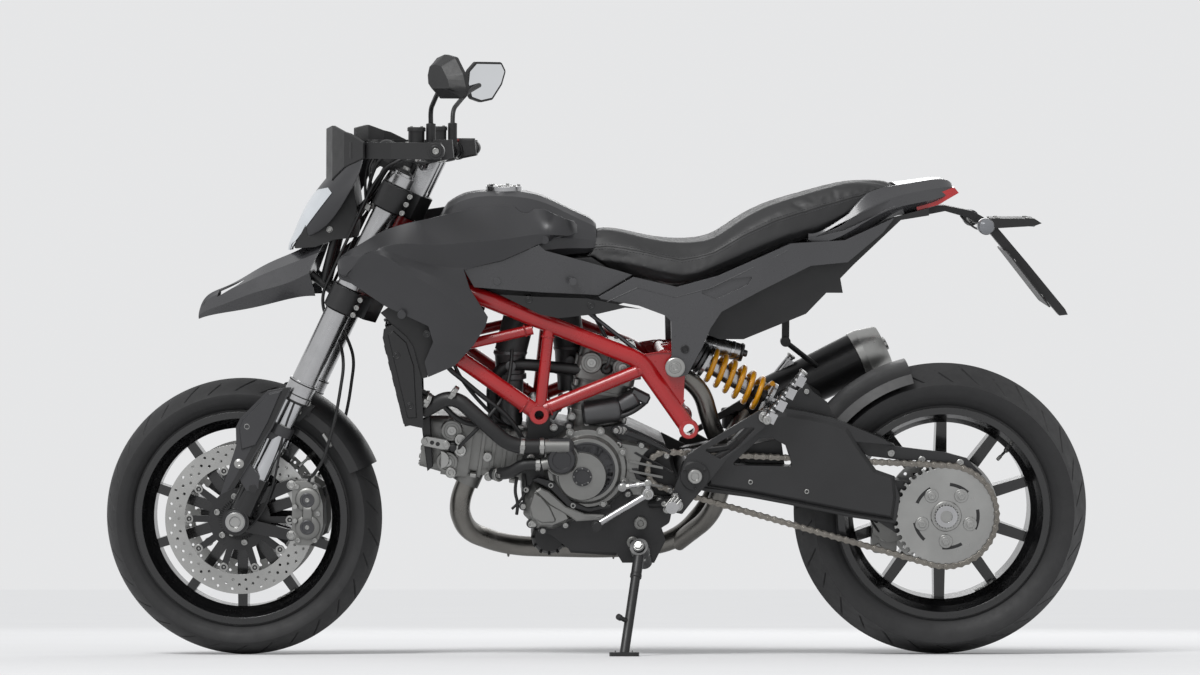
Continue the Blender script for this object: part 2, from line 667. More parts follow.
def front_disc_fittings():
    """Floating bobbins, carrier bolts and the toothed ring of the wheel-speed sensor."""
    bobbins, hearts, ring = Form(), Form(), Form()
    for side in (-1, 1):
        face = FRONT_AXLE + Vector((0, side * (DISC_Y + 2.5), 0))
        out = (0, side, 0)
        for turn in turns(10, 0.0):
            at = face + polar(108, turn)
            bobbins.turned(at, out, [(-1, 9.5), (1.6, 9.5), (2.4, 8.6), (2.4, 5.4), (1.2, 5.2)], 20)
            hearts.turned(at, out, [(-1, 5.2), (1.4, 5.2), (1.4, 2.4), (0.6, 2.2)], 14)
        for turn in turns(6, 0.3):
            at = face + polar(50, turn)
            bobbins.bolt(at, out, 7, 5)
        if side > 0:
            for turn in turns(48):
                at = face + polar(40, turn, 3)
                ring.block(at, polar(1, turn), LEFT, (8, 2.8, 3), 0.4)
            ring.turned(face, out, [(0, 37), (4.5, 37), (4.5, 31), (0, 31)], 40)
    bobbins.piece("front_disc_bobbins", "steel", "front_wheel")
    hearts.piece("front_disc_bobbin_hearts", "engine_black", "front_wheel")
    ring.piece("wheel_speed_ring", "engine_black", "front_wheel")


def caliper_fittings():
    """Pods, piston caps, bolts, pad pins, bleed nipples and pads of the front calipers."""
    caps, bolts, pads, pods = Form(), Form(), Form(), Form()
    for side in (-1, 1):
        face = side * (DISC_Y + 35)
        out = (0, side, 0)
        for z in (286, 344):
            pods.turned((1350, face, z), out, [(-4, 27), (0.6, 26.4), (2.6, 24.4), (3.6, 21), (4, 17)], 44)
            caps.turned((1350, face + side * 3.6, z), out,
                        [(-1, 15.5), (1.2, 15.5), (2.4, 14), (2.4, 11), (1.0, 10.4)], 28)
            bolts.bolt((1350, face + side * 4.6, z), out, 5, 2.4)
        pods.block((1350, face + side * 1.2, 315), UP, out, (60, 22, 6), 2.4)
        for x, z in ((1334, 372), (1373, 372), (1334, 258), (1370, 258), (1328, 315)):
            bolts.bolt((x, side * (DISC_Y + 31), z), out, 5.5, 5)
        for z in (300, 330):
            bolts.turned((1376, side * (DISC_Y + 14), z), out, [(-24, 3), (24, 3), (26, 5), (29, 5)], 12)
        bolts.turned((1341, side * (DISC_Y + 22), 386), (-0.3, 0, 1),
                     [(-4, 5), (4, 5), (4, 3.4), (13, 3.2), (15, 2.4)], 12)
        for ahead, up in ((-115, 77), (-115, -30)):
            bolts.nut((1500 + ahead, side * 98, 298 + up), out, 8.5, 7)
        for sheet_side in (-1, 1):
            pads.slab([(1366, 366), (1380, 352), (1382, 280), (1366, 266), (1345, 275), (1345, 357)],
                      side * DISC_Y + sheet_side * 3.1, side * DISC_Y + sheet_side * 7.6, 0.6)
    caps.piece("caliper_piston_caps", "cast_aluminium", "steering", "dark_steel")
    pods.piece("caliper_pods", "cast_aluminium", "steering")
    bolts.piece("caliper_bolts", "steel", "steering")
    pads.piece("caliper_pads", "cast_aluminium", "steering", "dark_steel")


def fork_fittings():
    """Dust seals, pinch bolts, clamp bolts, fork caps, guard bolts and axle rings."""
    dark, bright, black = Form(), Form(), Form()
    for side in (-1, 1):
        out = (0, side, 0)
        dark.turned(up_leg(288, side), STEER_UP, [(-6, 24), (-3, 28.5), (2, 28.5), (4, 30)], 36)
        for height in (300, 326):
            black.turned(up_leg(height, side), STEER_UP, [(-1.2, 31), (0, 31.4), (1.2, 31)], 40)
        for height in (505, 522, 540, 744, 764, 782):
            at = up_leg(height, side, -34, 5)
            bright.bolt(at + Vector((0, side * 9, 0)), out, 6, 6)
        for low, high in ((498, 552), (735, 792)):
            for edge in (low, high):
                dark.turned(up_leg(edge, side), STEER_UP, [(-1.5, 28.2), (0, 30), (1.5, 28.2)], 40)
        cap = up_leg(821, side)
        black.turned(cap, STEER_UP, [(-2, 20.5), (2, 20.5), (3.5, 19), (3.5, 13), (7, 13), (8.5, 11.5)], 6)
        bright.turned(cap, STEER_UP, [(6, 8), (13, 8), (14.5, 7), (14.5, 3), (13, 2.4)], 24)
        for k in range(2):
            bright.bolt(FRONT_AXLE + Vector((10, side * (116 - 18 * k), -26.4)), (0.35, 0, -0.94), 5, 5)
        for x, z in ((1474, 502), (1491, 423)):
            bright.turned((x, side * 140, z), out,
                          [(-1, 10.5), (1.2, 10.5), (3.4, 8.2), (4.2, 5), (3.4, 4.2), (2.8, 3.2)], 24)
        black.turned(FRONT_AXLE + Vector((0, side * 130.5, 0)), out, [(0, 25), (1.5, 25), (2.5, 23.5)], 36)
        bright.turned(FRONT_AXLE + Vector((0, side * 133, 0)), out,
                      [(0, 20), (2.4, 20), (3.8, 18.4), (3.8, 12.5), (1, 11)], 36)
    dark.piece("fork_seals", "rubber", "steering")
    bright.piece("fork_bolts", "steel", "steering")
    black.piece("fork_caps", "engine_black", "steering")


def guard_stripe():
    """Dark rear band on each fork guard, the lead's clips and the speed sensor's lead."""
    band, clip = Form(), Form()
    for side in (-1, 1):
        band.slab([(1396, 585), (1384, 585), (1424, 500), (1459, 445), (1500, 374), (1516, 366),
                   (1500, 392), (1464, 458), (1436, 512)], side * 139.8, side * 140.6, 0.3)
        clip.slab([(1412, 492), (1398, 486), (1390, 500), (1404, 508)], side * 120, side * 128, 1.0)
    band.piece("fork_guard_bands", "black_plastic", "steering")
    clip.piece("sensor_lead_clips", "steel", "steering")
    hose("speed_sensor_lead", [(1486, 96, 276), (1452, 104, 300), (1418, 118, 380), (1400, 124, 492),
                               (1372, 126, 560), (1345, 120, 640)], 2.6, "steering")


def fender_fittings():
    """Bracket bolts and hose guides of the front fender."""
    bolts, black = Form(), Form()
    for side in (-1, 1):
        for x, z in ((1352, 548), (1372, 530), (1382, 552), (1470, 386), (1455, 400)):
            bolts.bolt((x, side * 82, z), (0, side, 0), 6, 4)
        black.block((1312, side * 72, 470), (0.55, 0, 0.83), UP, (34, 14, 9), 2)
    bolts.piece("fender_bolts", "steel", "steering")
    black.piece("fender_hose_guides", "steel", "steering")


def valve_and_weights():
    """Tyre valves and balance weights."""
    for centre, body in ((FRONT_AXLE, "front_wheel"), (REAR_AXLE, "rear_wheel")):
        stems, weights = Form(), Form()
        spoke = polar(1, 2.4)
        stems.turned(centre + spoke * 190 + Vector((0, 10, 0)), -spoke + Vector((0, 0.5, 0)),
                     [(-2, 6), (3, 5), (4, 3), (20, 3), (20, 4), (30, 4), (31, 3)], 14)
        stems.piece(body + "_valve", "steel", body)
        for k in range(4):
            turn = 4.1 + 0.06 * k
            out = polar(1, turn)
            weights.block(centre + out * 190.6 + Vector((0, 22, 0)), (-out.z, 0, out.x), LEFT,
                          (10, 3.4, 16), 0.8)
        weights.piece(body + "_weights", "cast_aluminium", body)


front_disc_fittings()
caliper_fittings()
fork_fittings()
guard_stripe()
fender_fittings()
valve_and_weights()

# ------------------------------------------------------------------ engine
CASE_Y = 104.0


def bank_place(foot, tilt, along, across, side_y):
    """Place on a cylinder bank: along its bore from its foot, across it in side view, and out."""
    turn = math.radians(tilt)
    bore = polar(1, turn)
    square = Vector((-math.sin(turn), 0, math.cos(turn)))
    return Vector(foot) + bore * along + square * across + Vector((0, side_y, 0))


# Foot of each cylinder's bore, its tilt in degrees, its length and its head's height
BANKS = (((896, 0, 440), 8, 118, 104), ((748, 0, 505), 100, 96, 84))


def bank_fittings():
    """Cover bolts, cam caps, studs and spark plug leads of both cylinders."""
    bolts, caps, plugs = Form(), Form(), Form()
    for foot, tilt, bore, head in BANKS:
        up = bank_place((0, 0, 0), tilt, 1, 0, 0)
        for side in (-1, 1):
            out = (0, side, 0)
            for across in (-52, -18, 18, 52):
                bolts.bolt(bank_place(foot, tilt, bore + head * 0.3, across, side * 88), out, 5.5, 4.5)
            for across in (-34, 34):
                at = bank_place(foot, tilt, bore + head * 0.45, across, side * 102)
                caps.turned(at, out, [(-1, 23), (1.5, 23), (3, 21), (3, 16.5), (1.2, 16), (1.2, 11)], 28)
                bolts.turned(at, out, [(-4, 10.6), (2.4, 10.6), (3.4, 9.6), (3.4, 4.4), (1.4, 4)], 24)
            for along, across in ((20, -60), (20, 60), (bore - 12, -60), (bore - 12, 60)):
                bolts.turned(bank_place(foot, tilt, along, across * 0.96, side * 66), up,
                             [(-6, 6), (6, 6), (8, 4.6)], 12)
            plug = bank_place(foot, tilt, bore + head * 0.45 - 8, 0, side * 96)
            plugs.turned(plug, out, [(-4, 12.5), (2, 12.5), (4, 11), (12, 10), (13, 8), (22, 7.5),
                                     (23, 5)], 20)
            for across in (-44, -15, 15, 44):
                bolts.bolt(bank_place(foot, tilt, bore + head - 1.5, across * 1.1, side * 54), up, 5, 4)
    bolts.piece("cylinder_bolts", "steel")
    caps.piece("cam_end_caps", "cast_aluminium")
    plugs.piece("plug_caps", "rubber")
    hose("plug_lead_front", [(1040, 112, 461), (1030, 134, 476), (984, 140, 520), (930, 120, 590),
                             (927, 92, 668)], 4)
    hose("plug_lead_rear", [(729, 118, 633), (724, 132, 640), (716, 118, 672), (738, 92, 716),
                            (764, 70, 762)], 4)


def head_links():
    """Bright link, rings and half disc on the front cylinder's left end."""
    bright, dark = Form(), Form()
    bright.slab([(1117, 482), (1108, 487), (1064, 479), (1056, 466), (1062, 458), (1074, 458),
                 (1114, 466)], 112, 117, 1.2)
    for x, z in ((1112, 476), (1066, 468)):
        bright.nut((x, 117, z), LEFT, 6.5, 5)
    for x, z in ((1096, 473), (1084, 470)):
        dark.turned((x, 117, z), LEFT, [(-1, 4.6), (0.5, 4.6), (0.5, 3)], 16)
    for z in (479, 456):
        bright.turned((1036, 108, z), LEFT, [(-2, 13), (8, 13), (10, 11.5), (10, 7.6), (4, 7.2)], 28)
    bright.slab([(1041, 474), (1041, 461), (1031, 461), (1031, 474)], 108, 116, 1)
    bright.turned((978, 96, 440), LEFT, [(-24, 10), (4, 10), (5, 8.6), (5, 4), (2, 3.6)], 24)
    bright.slab(side_arc((1078, 436), 19, 90, 270, 11)[::-1], 100, 114, 1.5)
    bright.turned((1056, 104, 408), LEFT, [(-4, 12), (5, 12), (7, 10), (7, 6), (3, 5)], 24)
    bright.nut((976, 84, 396), LEFT, 8, 7)
    dark.slab([(1120, 520), (1100, 530), (1094, 420), (1106, 410)], 80, 104, 2)
    bright.piece("head_links", "steel")
    dark.piece("head_link_holes", "engine_black")


def case_fittings():
    """Bolts and raised rings of the engine's covers, oil plugs, sump pads and the filter."""
    bolts, alloy, dark, black = Form(), Form(), Form(), Form()
    for turn in range(20, 380, 45):
        t = math.radians(turn)
        bolts.bolt((768 + 84 * math.cos(t), CASE_Y + 27, 420 + 84 * math.sin(t)), LEFT, 6, 5)
    for x, z in ((886, 298), (860, 284), (812, 296), (794, 316), (902, 336), (896, 372), (700, 470),
                 (652, 468), (598, 446), (590, 372), (612, 350), (680, 364), (786, 486), (806, 508),
                 (842, 412), (706, 500)):
        bolts.bolt((x, CASE_Y + 16 if x < 715 else CASE_Y + 8, z), LEFT, 6, 5)
        alloy.turned((x, CASE_Y - 2, z), LEFT, [(0, 9.5), (10 if x > 715 else 17, 8.5)], 18)
    for x, z in ((880, 300), (700, 500), (838, 505), (596, 330), (886, 440)):
        for side in (-1, 1):
            bolts.nut((x, side * (CASE_Y + 8), z), (0, side, 0), 7, 6)
    alloy.turned((768, CASE_Y + 38, 418), LEFT, [(-2, 60), (0.8, 60), (1.4, 59), (1.4, 56), (0, 55.6)], 56)
    alloy.turned((778, CASE_Y + 46.5, 405), LEFT,
                 [(-2, 20.5), (1.6, 20.5), (2.4, 19.2), (2.4, 15.5), (0.8, 15)], 32)
    for turn in turns(8):
        dark.block((778 + 17.6 * math.cos(turn), CASE_Y + 49.2, 405 + 17.6 * math.sin(turn)),
                   polar(1, turn), LEFT, (3.5, 3, 1.4), 0.3)
    for side in (-1, 1):
        alloy.slab([(790, 292), (700, 292), (700, 262), (790, 262)], side * 60, side * 97, 3)
        for x in (715, 737, 759):
            dark.slab([(x + 12, 286), (x, 286), (x, 268), (x + 12, 268)], side * 97.1, side * 97.6, 0.2)
    black.turned((845, -62, 262), LEFT, [(0, 34), (4, 37), (10, 38), (106, 38), (112, 36), (120, 30)], 36)
    for turn in turns(12):
        black.block((845 + 37.6 * math.cos(turn), 46, 262 + 37.6 * math.sin(turn)), LEFT,
                    polar(1, turn), (24, 6, 3), 0.8)
    dark.turned((652, CASE_Y, 300), LEFT, [(-3, 14), (9, 14), (11, 12), (11, 7), (6, 6)], 28)
    dark.turned((668, 92, 258), LEFT, [(-3, 13), (14, 13), (16, 11), (16, 6), (9, 5)], 28)
    for r, raised in ((92, 0), (60, 12)):
        alloy.turned((740, -CASE_Y - 44 - raised, 400), RIGHT,
                     [(-2, r + 12), (0.8, r + 12), (1.6, r + 10), (1.6, r + 6), (0, r + 5)], 48)
    for turn in turns(10):
        bolts.bolt((740 + 100 * math.cos(turn), -CASE_Y - 44, 400 + 100 * math.sin(turn)), RIGHT, 6, 5)
    for turn in turns(6, 0.3):
        alloy.slab([(740 + r * math.cos(turn + d), 400 + r * math.sin(turn + d))
                    for r, d in ((36, -0.12), (74, -0.07), (74, 0.07), (36, 0.12))], -CASE_Y - 55,
                    -CASE_Y - 58.5, 1.5)
    bolts.piece("case_bolts", "steel")
    alloy.piece("case_bosses", "engine_black", look="engine_coat_light")
    dark.piece("case_plugs", "cast_aluminium")
    black.piece("oil_filter", "engine_black")


def cover_details():
    """Channel, bright crescent and ribs on the left-hand covers."""
    channel, crescent, ribs = Form(), Form(), Form()
    channel.slab([(884, 396), (872, 402), (836, 392), (800, 352), (764, 336), (716, 344), (716, 336),
                  (762, 326), (808, 338), (846, 376)], CASE_Y + 20, CASE_Y + 30, 2)
    crescent.slab([(878, 372), (866, 380), (848, 372), (812, 340), (772, 324), (730, 322), (734, 312),
                   (790, 308), (800, 316), (846, 342)], CASE_Y + 24, CASE_Y + 37, 3)
    for outline in ([(690, 492), (680, 500), (640, 486), (588, 456), (592, 450), (640, 474)],
                    [(672, 420), (660, 420), (654, 404), (640, 398), (644, 392), (662, 396)]):
        ribs.slab(outline, CASE_Y + 14, CASE_Y + 19, 1.5)
    for k in range(4):
        ribs.slab([(668 - 14 * k, 452 - 7 * k), (664 - 14 * k, 455 - 7 * k), (624 - 14 * k, 432 - 7 * k),
                   (628 - 14 * k, 429 - 7 * k)], CASE_Y + 15, CASE_Y + 18.5, 1)
    channel.piece("cover_channel", "engine_black")
    crescent.piece("cover_crescent", "cast_aluminium")
    ribs.piece("sprocket_cover_ribs", "engine_black")


def water_hoses():
    """Hose clamps of the cooling system and the water pump's cover."""
    clamps, black = Form(), Form()
    for at, axis, radius in (((864, 154, 470), (1, 0.02, 0), 17), ((905, 155, 470), (1, 0, 0.1), 17),
                             ((1052, 150, 582), (0.7, 0, 0.5), 17), ((872, 148, 431), (1, 0, 0), 14),
                             ((1108, 142, 566), (0.8, 0.2, 0.4), 17),
                             ((955, 108, 404), (0.6, -0.7, 0.1), 14)):
        clamps.turned(at, axis, [(-5, radius + 0.2), (-4, radius + 1.2), (4, radius + 1.2),
                                 (5, radius + 0.2)], 28)
        clamps.block(Vector(at) + Vector((0, radius + 3, 0)), axis, UP, (12, 7, 8), 1)
    black.slab([(850, 486), (804, 486), (796, 478), (796, 462), (804, 455), (850, 455)], CASE_Y + 30,
               CASE_Y + 61, 6)
    black.turned((822, CASE_Y + 57, 442), LEFT, [(-2, 30), (2, 29), (4, 27), (4, 20), (2, 19)], 36)
    clamps.piece("hose_clamps", "steel")
    black.piece("water_pump_cover", "engine_black", look="engine_coat_light")


def engine_wiring():
    """Breather pipe, looms and leads on the engine's left, and the two throttle bodies."""
    hose("breather_pipe", [(1147, 134, 600), (1082, 126, 566), (1042, 122, 520), (990, 118, 508),
                           (962, 112, 512), (940, 96, 505)], 6)
    hose("loom_left", [(1094, 124, 680), (1066, 134, 636), (1035, 130, 612), (990, 132, 574),
                       (944, 130, 540), (912, 122, 500), (890, 106, 452)], 5.5)
    hose("loom_inner", [(1062, 126, 673), (1046, 124, 626), (1008, 122, 574), (956, 112, 520),
                        (930, 84, 500)], 4)
    inlets = Form()
    for at, reach in (((930, 52, 664), 158), ((800, -52, 664), 96)):
        inlets.turned(at, (0, 0, -1), [(0, 35), (6, 36.4), (12, 33), (48, 31), (50, 34.5), (60, 34.5),
                                       (62, 28), (reach, 26)], 44)
        inlets.turned(Vector(at) + Vector((0, 0, -30)), LEFT,
                      [(-40, 9), (38, 9), (40, 11), (44, 11), (45, 8)], 24)
    inlets.piece("throttle_bodies", "cast_aluminium", look="dark_alloy")
    hose("air_tube", [(958, 58, 500), (972, 68, 560), (962, 74, 616), (930, 76, 638), (850, 76, 632),
                      (744, 74, 620)], 13)
    hose("choke_rod", [(772, 98, 754), (730, 101, 722), (688, 106, 690), (646, 113, 656)], 4.5,
         slot="steel", look="dark_steel")
    hose("lambda_lead", [(915, 106, 398), (922, 112, 372), (912, 110, 340), (916, 104, 318)], 3.5)
    hose("lambda_lead_two", [(900, 106, 404), (896, 114, 380), (902, 112, 352), (926, 106, 330)], 3)
    hose("starter_cable", [(640, 96, 560), (665, 112, 540), (700, 112, 528), (748, 104, 522),
                           (772, 98, 506)], 5)


def starter_and_sensors():
    """Starter motor, its bolts and a temperature sender between the cylinders."""
    alloy, dark, black = Form(), Form(), Form()
    alloy.turned((778, 98, 534), (-1, 0, 0.12), [(0, 20), (6, 27), (74, 27), (80, 24), (86, 12)], 32)
    alloy.turned((700, 96, 548), (-1, 0, 0.6), [(0, 18), (22, 20), (40, 20), (44, 17)], 28)
    alloy.block((655, 96, 572), (1, 0, 0.5), UP, (44, 30, 22), 4)
    for x, z in ((690, 498), (768, 506), (800, 528)):
        dark.nut((x, 104, z), LEFT, 7, 6)
    alloy.turned((838, 112, 538), (-0.5, 0, 0.86), [(-14, 9), (6, 9), (8, 12), (16, 12), (18, 9), (26, 8)],
                 20)
    black.turned((838, 112, 538), (-0.4, 0.1, 0.9), [(26, 7), (40, 7), (44, 4)], 16)
    alloy.piece("starter_motor", "cast_aluminium", look="dark_alloy")
    dark.piece("starter_bolts", "steel")
    black.piece("sender_plug", "rubber")


bank_fittings()
head_links()
case_fittings()
cover_details()
water_hoses()
engine_wiring()
starter_and_sensors()

# ------------------------------------------------------------------ bodywork


def flush_screw(form, centre, axis, radius):
    """Countersunk body screw in its cup."""
    form.turned(centre, axis, [(-1, radius), (0.8, radius), (1.4, 0.86 * radius), (0.5, 0.62 * radius),
                               (1.2, 0.5 * radius), (1.2, 0.26 * radius), (0.4, 0.22 * radius)], 18)


def body_screws():
    """Screws of the shrouds and covers, and the bolt and hole rings of the side subframes."""
    black, bright = Form(), Form()
    for side in (-1, 1):
        out = (0, side, 0)
        for x, y, z in ((1171, 159, 663), (1143, 159, 556), (893, 154, 781), (762, 154, 770)):
            flush_screw(black, (x, side * y, z), out, 8)
        flush_screw(black, (1107, side * 184.5, 711), (0, side, -0.15), 8)
        black.turned((562, side * 141, 676), out, [(-3, 9), (0.6, 9), (1.4, 8), (1.4, 6.4), (-2, 6.2)], 24)
        bright.turned((583, side * 148, 638), out,
                      [(-1, 21), (1.6, 21), (3, 19), (3, 13), (1.2, 12.4), (1.2, 9), (5, 8.4), (5, 5),
                       (2, 4.4)], 32)
    black.piece("body_screws", "engine_black")
    bright.piece("subframe_bolts", "steel")


def filler_cap():
    """Bolts, ring, hinge and lock of the fuel filler."""
    bolts, hinge = Form(), Form()
    for turn in turns(6, 0.26):
        at = Vector((945 + 33 * math.cos(turn), 33 * math.sin(turn), 1012.4))
        bolts.bolt(at, UP, 3.4, 2.2)
    bolts.turned((945, 0, 1009), UP, [(0, 27), (1.6, 27), (2.6, 25), (2.6, 13), (1.4, 12)], 36)
    hinge.block((972, 0, 1013), LEFT, UP, (22, 9, 5), 1.6)
    hinge.turned((938, 0, 1010), UP, [(0, 7), (1.8, 7), (2.4, 6), (2.4, 1.4), (0.4, 1.2)], 20)
    bolts.piece("filler_cap_bolts", "steel")
    hinge.piece("filler_cap_lock", "steel", look="dark_steel")


def weld_beads():
    """Weld beads where the trellis tubes meet."""
    beads = Form()
    for side in (-1, 1):
        for at, axis, radius in (((866, 137, 552), (-0.1, -0.05, 1), 12.6),
                                 ((852, 126, 700), (0.1, 0.05, -1), 12.6),
                                 ((900, 137, 556), (0.82, -0.02, 0.56), 17.6),
                                 ((848, 136, 549), (-0.95, -0.06, 0.42), 14.6),
                                 ((662, 123, 630), (0.92, 0.05, -0.36), 14.6),
                                 ((900, 126, 713), (0.97, 0, -0.24), 11.6),
                                 ((1042, 128, 678), (-0.97, 0, 0.24), 11.6), ((604, 108, 656), LEFT, 14.6),
                                 ((1035, 106, 668), LEFT, 12.6)):
            beads.ring_bead((at[0], side * at[1], at[2]), (axis[0], side * axis[1], axis[2]), radius, 2.2)
        for lug, reach in (((870, 144, 537), 16), ((552, 130, 505), 14)):
            for offset in (-1, 1):
                beads.ring_bead((lug[0], side * (lug[1] + offset * reach * 0.4), lug[2]), (0, side, 0),
                                19.3, 1.8)
        beads.bead([(x, side * 126, z) for x, z in ((652, 662), (616, 668), (580, 668))], 2)
        beads.bead([(x, side * 126, z) for x, z in ((562, 566), (572, 546), (584, 536))], 2)
    beads.piece("frame_weld_beads", "red_frame")


def radiator_details():
    """Corrugated fins on the radiator's face, its cap and its side ribs."""
    fins, cap = Form(), Form()
    turn = math.radians(14)
    ahead = Vector((math.cos(turn), 0, -math.sin(turn)))
    up = Vector((math.sin(turn), 0, math.cos(turn)))
    middle = Vector((1144, 0, 613))
    for row in range(18):
        low = -85 + row * 10
        ring = [middle + ahead * 30.2 + up * (low + (3.2 if k % 2 else 9.0) - 2)
                + Vector((0, -121 + 242 * k / 123, 0)) for k in range(124)]
        fins.skin([ring, [point + ahead * 1.4 for point in ring]], closed=False, capped=False)
    cap.turned(middle + ahead * 14 + up * 96 + Vector((0, -136, 0)), up,
               [(0, 14), (8, 14), (9, 20), (14, 20), (15, 17)], 28)
    for side in (-1, 1):
        for row in range(5):
            cap.block(middle + ahead * 34 + up * (-70 + 35 * row) + Vector((0, side * 136, 0)), up, ahead,
                      (20, 16, 3), 1)
    fins.piece("radiator_fins", "engine_black", look="dark_alloy")
    cap.piece("radiator_cap", "engine_black")


def cowl_details():
    """Lamp units and bright bezel of the headlight, and the stay's screws."""
    lamps, bezel, screws = Form(), Form(), Form()
    for side in (-1, 1):
        for k, (x, y, z, r) in enumerate(((1366, 34, 922, 17), (1350, 46, 948, 15), (1334, 56, 972, 11))):
            out = Vector((0.82, 0.45 * side, 0.3))
            lamps.turned((x, side * y, z), out,
                         [(-8, r), (0, r), (2, r - 1.5), (2, r - 4), (-3, r - 5), (3, 2)], 26)
        for k in range(6):
            bezel.block((1392 - 13.4 * k, side * (19 + 7.6 * k), 886 + 19 * k), (-0.55, side * 0.32, 0.78),
                        (0.8, 0.2, 0.5), (17, 4, 5), 1)
        flush_screw(screws, (1296, side * 61.4, 965), (0, side, 0), 7)
        flush_screw(screws, (1310, side * 61.4, 918), (0, side, 0), 7)
    lamps.piece("headlight_lamps", "lens_clear", "steering", "lamp_glass")
    bezel.piece("headlight_bezel", "steel", "steering", "lamp_chrome")
    screws.piece("cowl_screws", "steel", "steering")


def panel_lines():
    """Fine raised lines along the subframe panels, as moulded."""
    lines = Form()
    for side in (-1, 1):
        route = ((728, 776), (664, 806), (584, 786), (508, 806), (440, 838), (345, 884))
        for (x0, z0), (x1, z1) in zip(route, route[1:]):
            start = Vector((x0, 0, z0))
            end = Vector((x1, 0, z1))
            for point in (start, end):
                point.y = side * (rail_y(point.x) + 5.4)
            lines.turned(start, end - start, [(0, 1.5), ((end - start).length, 1.5)], 8)
    lines.piece("subframe_lines", "body_light")


def rail_y(x):
    """Middle of the side subframe's wall at a place along the machine."""
    plan = [(770, 138), (600, 135), (500, 131), (400, 120), (250, 97), (100, 74)]
    for (x1, y1), (x0, y0) in zip(plan, plan[1:]):
        if x >= x0:
            return y0 + (y1 - y0) * (x - x0) / (x1 - x0)
    return plan[-1][1]


def tail_details():
    """Emitters behind the red lens, indicator lenses, plate lamp, bracket bolts and leads."""
    leds, amber, lamp, bolts = Form(), Form(), Form(), Form()
    for k in range(10):
        y = -45 + 10 * k
        leds.turned((0, y, 1000 + 0.1 * abs(y)), (-1, 0, -0.1), [(-12, 3.4), (13, 3.4), (14, 2)], 14)
    for side in (-1, 1):
        at = Vector((-73, side * 146, 938))
        amber.turned(at, (0, side, 0), [(-20, 17.6), (-2, 17.6), (3, 15), (6, 9), (7, 2)], 28)
        bolts.turned(Vector((-73, side * 112, 938)), (0, side, 0), [(0, 8), (4, 11), (10, 11)], 20)
    lamp.block((-178, 0, 935), (1, 0, 0.1), UP, (34, 46, 9), 2.5)
    for x, z, y in ((-112, 947, 20), (-112, 947, -20), (-176, 947, 24), (-176, 947, -24)):
        bolts.bolt((x, y, z), UP, 4.6, 3)
    leds.piece("tail_light_emitters", "lens_red", look="lens_red_deep")
    amber.piece("indicator_lenses", "lens_clear", look="indicator_glass")
    lamp.piece("plate_lamp", "lens_clear")
    bolts.piece("plate_bracket_bolts", "steel")
    for side in (-1, 1):
        hose("indicator_lead_" + SIDE_NAMES[side],
             [(-73, side * 112, 930), (-64, side * 70, 926), (-50, side * 30, 936), (-37, side * 9, 950)],
             2.2)


body_screws()
filler_cap()
weld_beads()
radiator_details()
cowl_details()
panel_lines()
tail_details()

# ------------------------------------------------------------------ seat
SEAT_SEAM = ((790, 71, 887), (725, 87, 893), (650, 105, 883), (570, 117, 867), (500, 117, 883),
             (440, 111, 917), (370, 105, 949), (260, 91, 983), (170, 71, 1007), (120, 50, 1022))

SEAT_MESH = 0.0055            # metres between the cover's mesh points
SEAT_DRAWN_IN = 0.0035        # metres that the cover starts inside its solid
SEAT_SWELL = 0.0055           # metres that it swells at most
SWELL_STEPS = 20
STITCH_PITCH = 7
STITCH_ROWS = (-5.5, 5.5)     # millimetres to either side of the welt


def apply_modifiers(made):
    """Give the object the mesh that its modifiers make."""
    graph = bpy.context.evaluated_depsgraph_get()
    mesh = bpy.data.meshes.new_from_object(made.evaluated_get(graph))
    made.modifiers.clear()
    made.data = mesh


def swell(made, most):
    """Blow the cover up as cloth over foam; no point moves further than a distance in metres."""
    before = [vertex.co.copy() for vertex in made.data.vertices]
    cloth = made.modifiers.new("cover", "CLOTH")
    cloth.settings.use_pressure = True
    cloth.settings.uniform_pressure_force = 4
    cloth.settings.effector_weights.gravity = 0
    cloth.point_cache.frame_end = SWELL_STEPS
    for step in range(1, SWELL_STEPS + 1):
        bpy.context.scene.frame_set(step)
    apply_modifiers(made)
    bpy.context.scene.frame_set(1)
    for vertex, start in zip(made.data.vertices, before):
        moved = vertex.co - start
        if moved.length > most:
            vertex.co = start + moved * (most / moved.length)


def padded_seat():
    """Seat cover over foam: its solid drawn in a little, swollen as cloth, then subdivided once."""
    made = bpy.data.objects.new("seat_cushion", frame["nodes"]["seat"].data.copy())
    bpy.context.scene.collection.objects.link(made)
    remesh = made.modifiers.new("even_mesh", "REMESH")
    remesh.mode = "VOXEL"
    remesh.voxel_size = SEAT_MESH
    shrink = made.modifiers.new("drawn_in", "DISPLACE")
    shrink.strength = -SEAT_DRAWN_IN
    shrink.mid_level = 0
    soften = made.modifiers.new("soft_corners", "SMOOTH")
    soften.factor = 0.5
    soften.iterations = 4
    apply_modifiers(made)
    swell(made, SEAT_SWELL)
    skin = made.modifiers.new("skin", "SUBSURF")
    skin.levels = 1
    apply_modifiers(made)
    made.data.polygons.foreach_set("use_smooth", [True] * len(made.data.polygons))
    made.data.materials.clear()
    made.data.materials.append(MATERIALS["seat_cover"])
    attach(made, "chassis")
    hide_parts("seat")
    return made


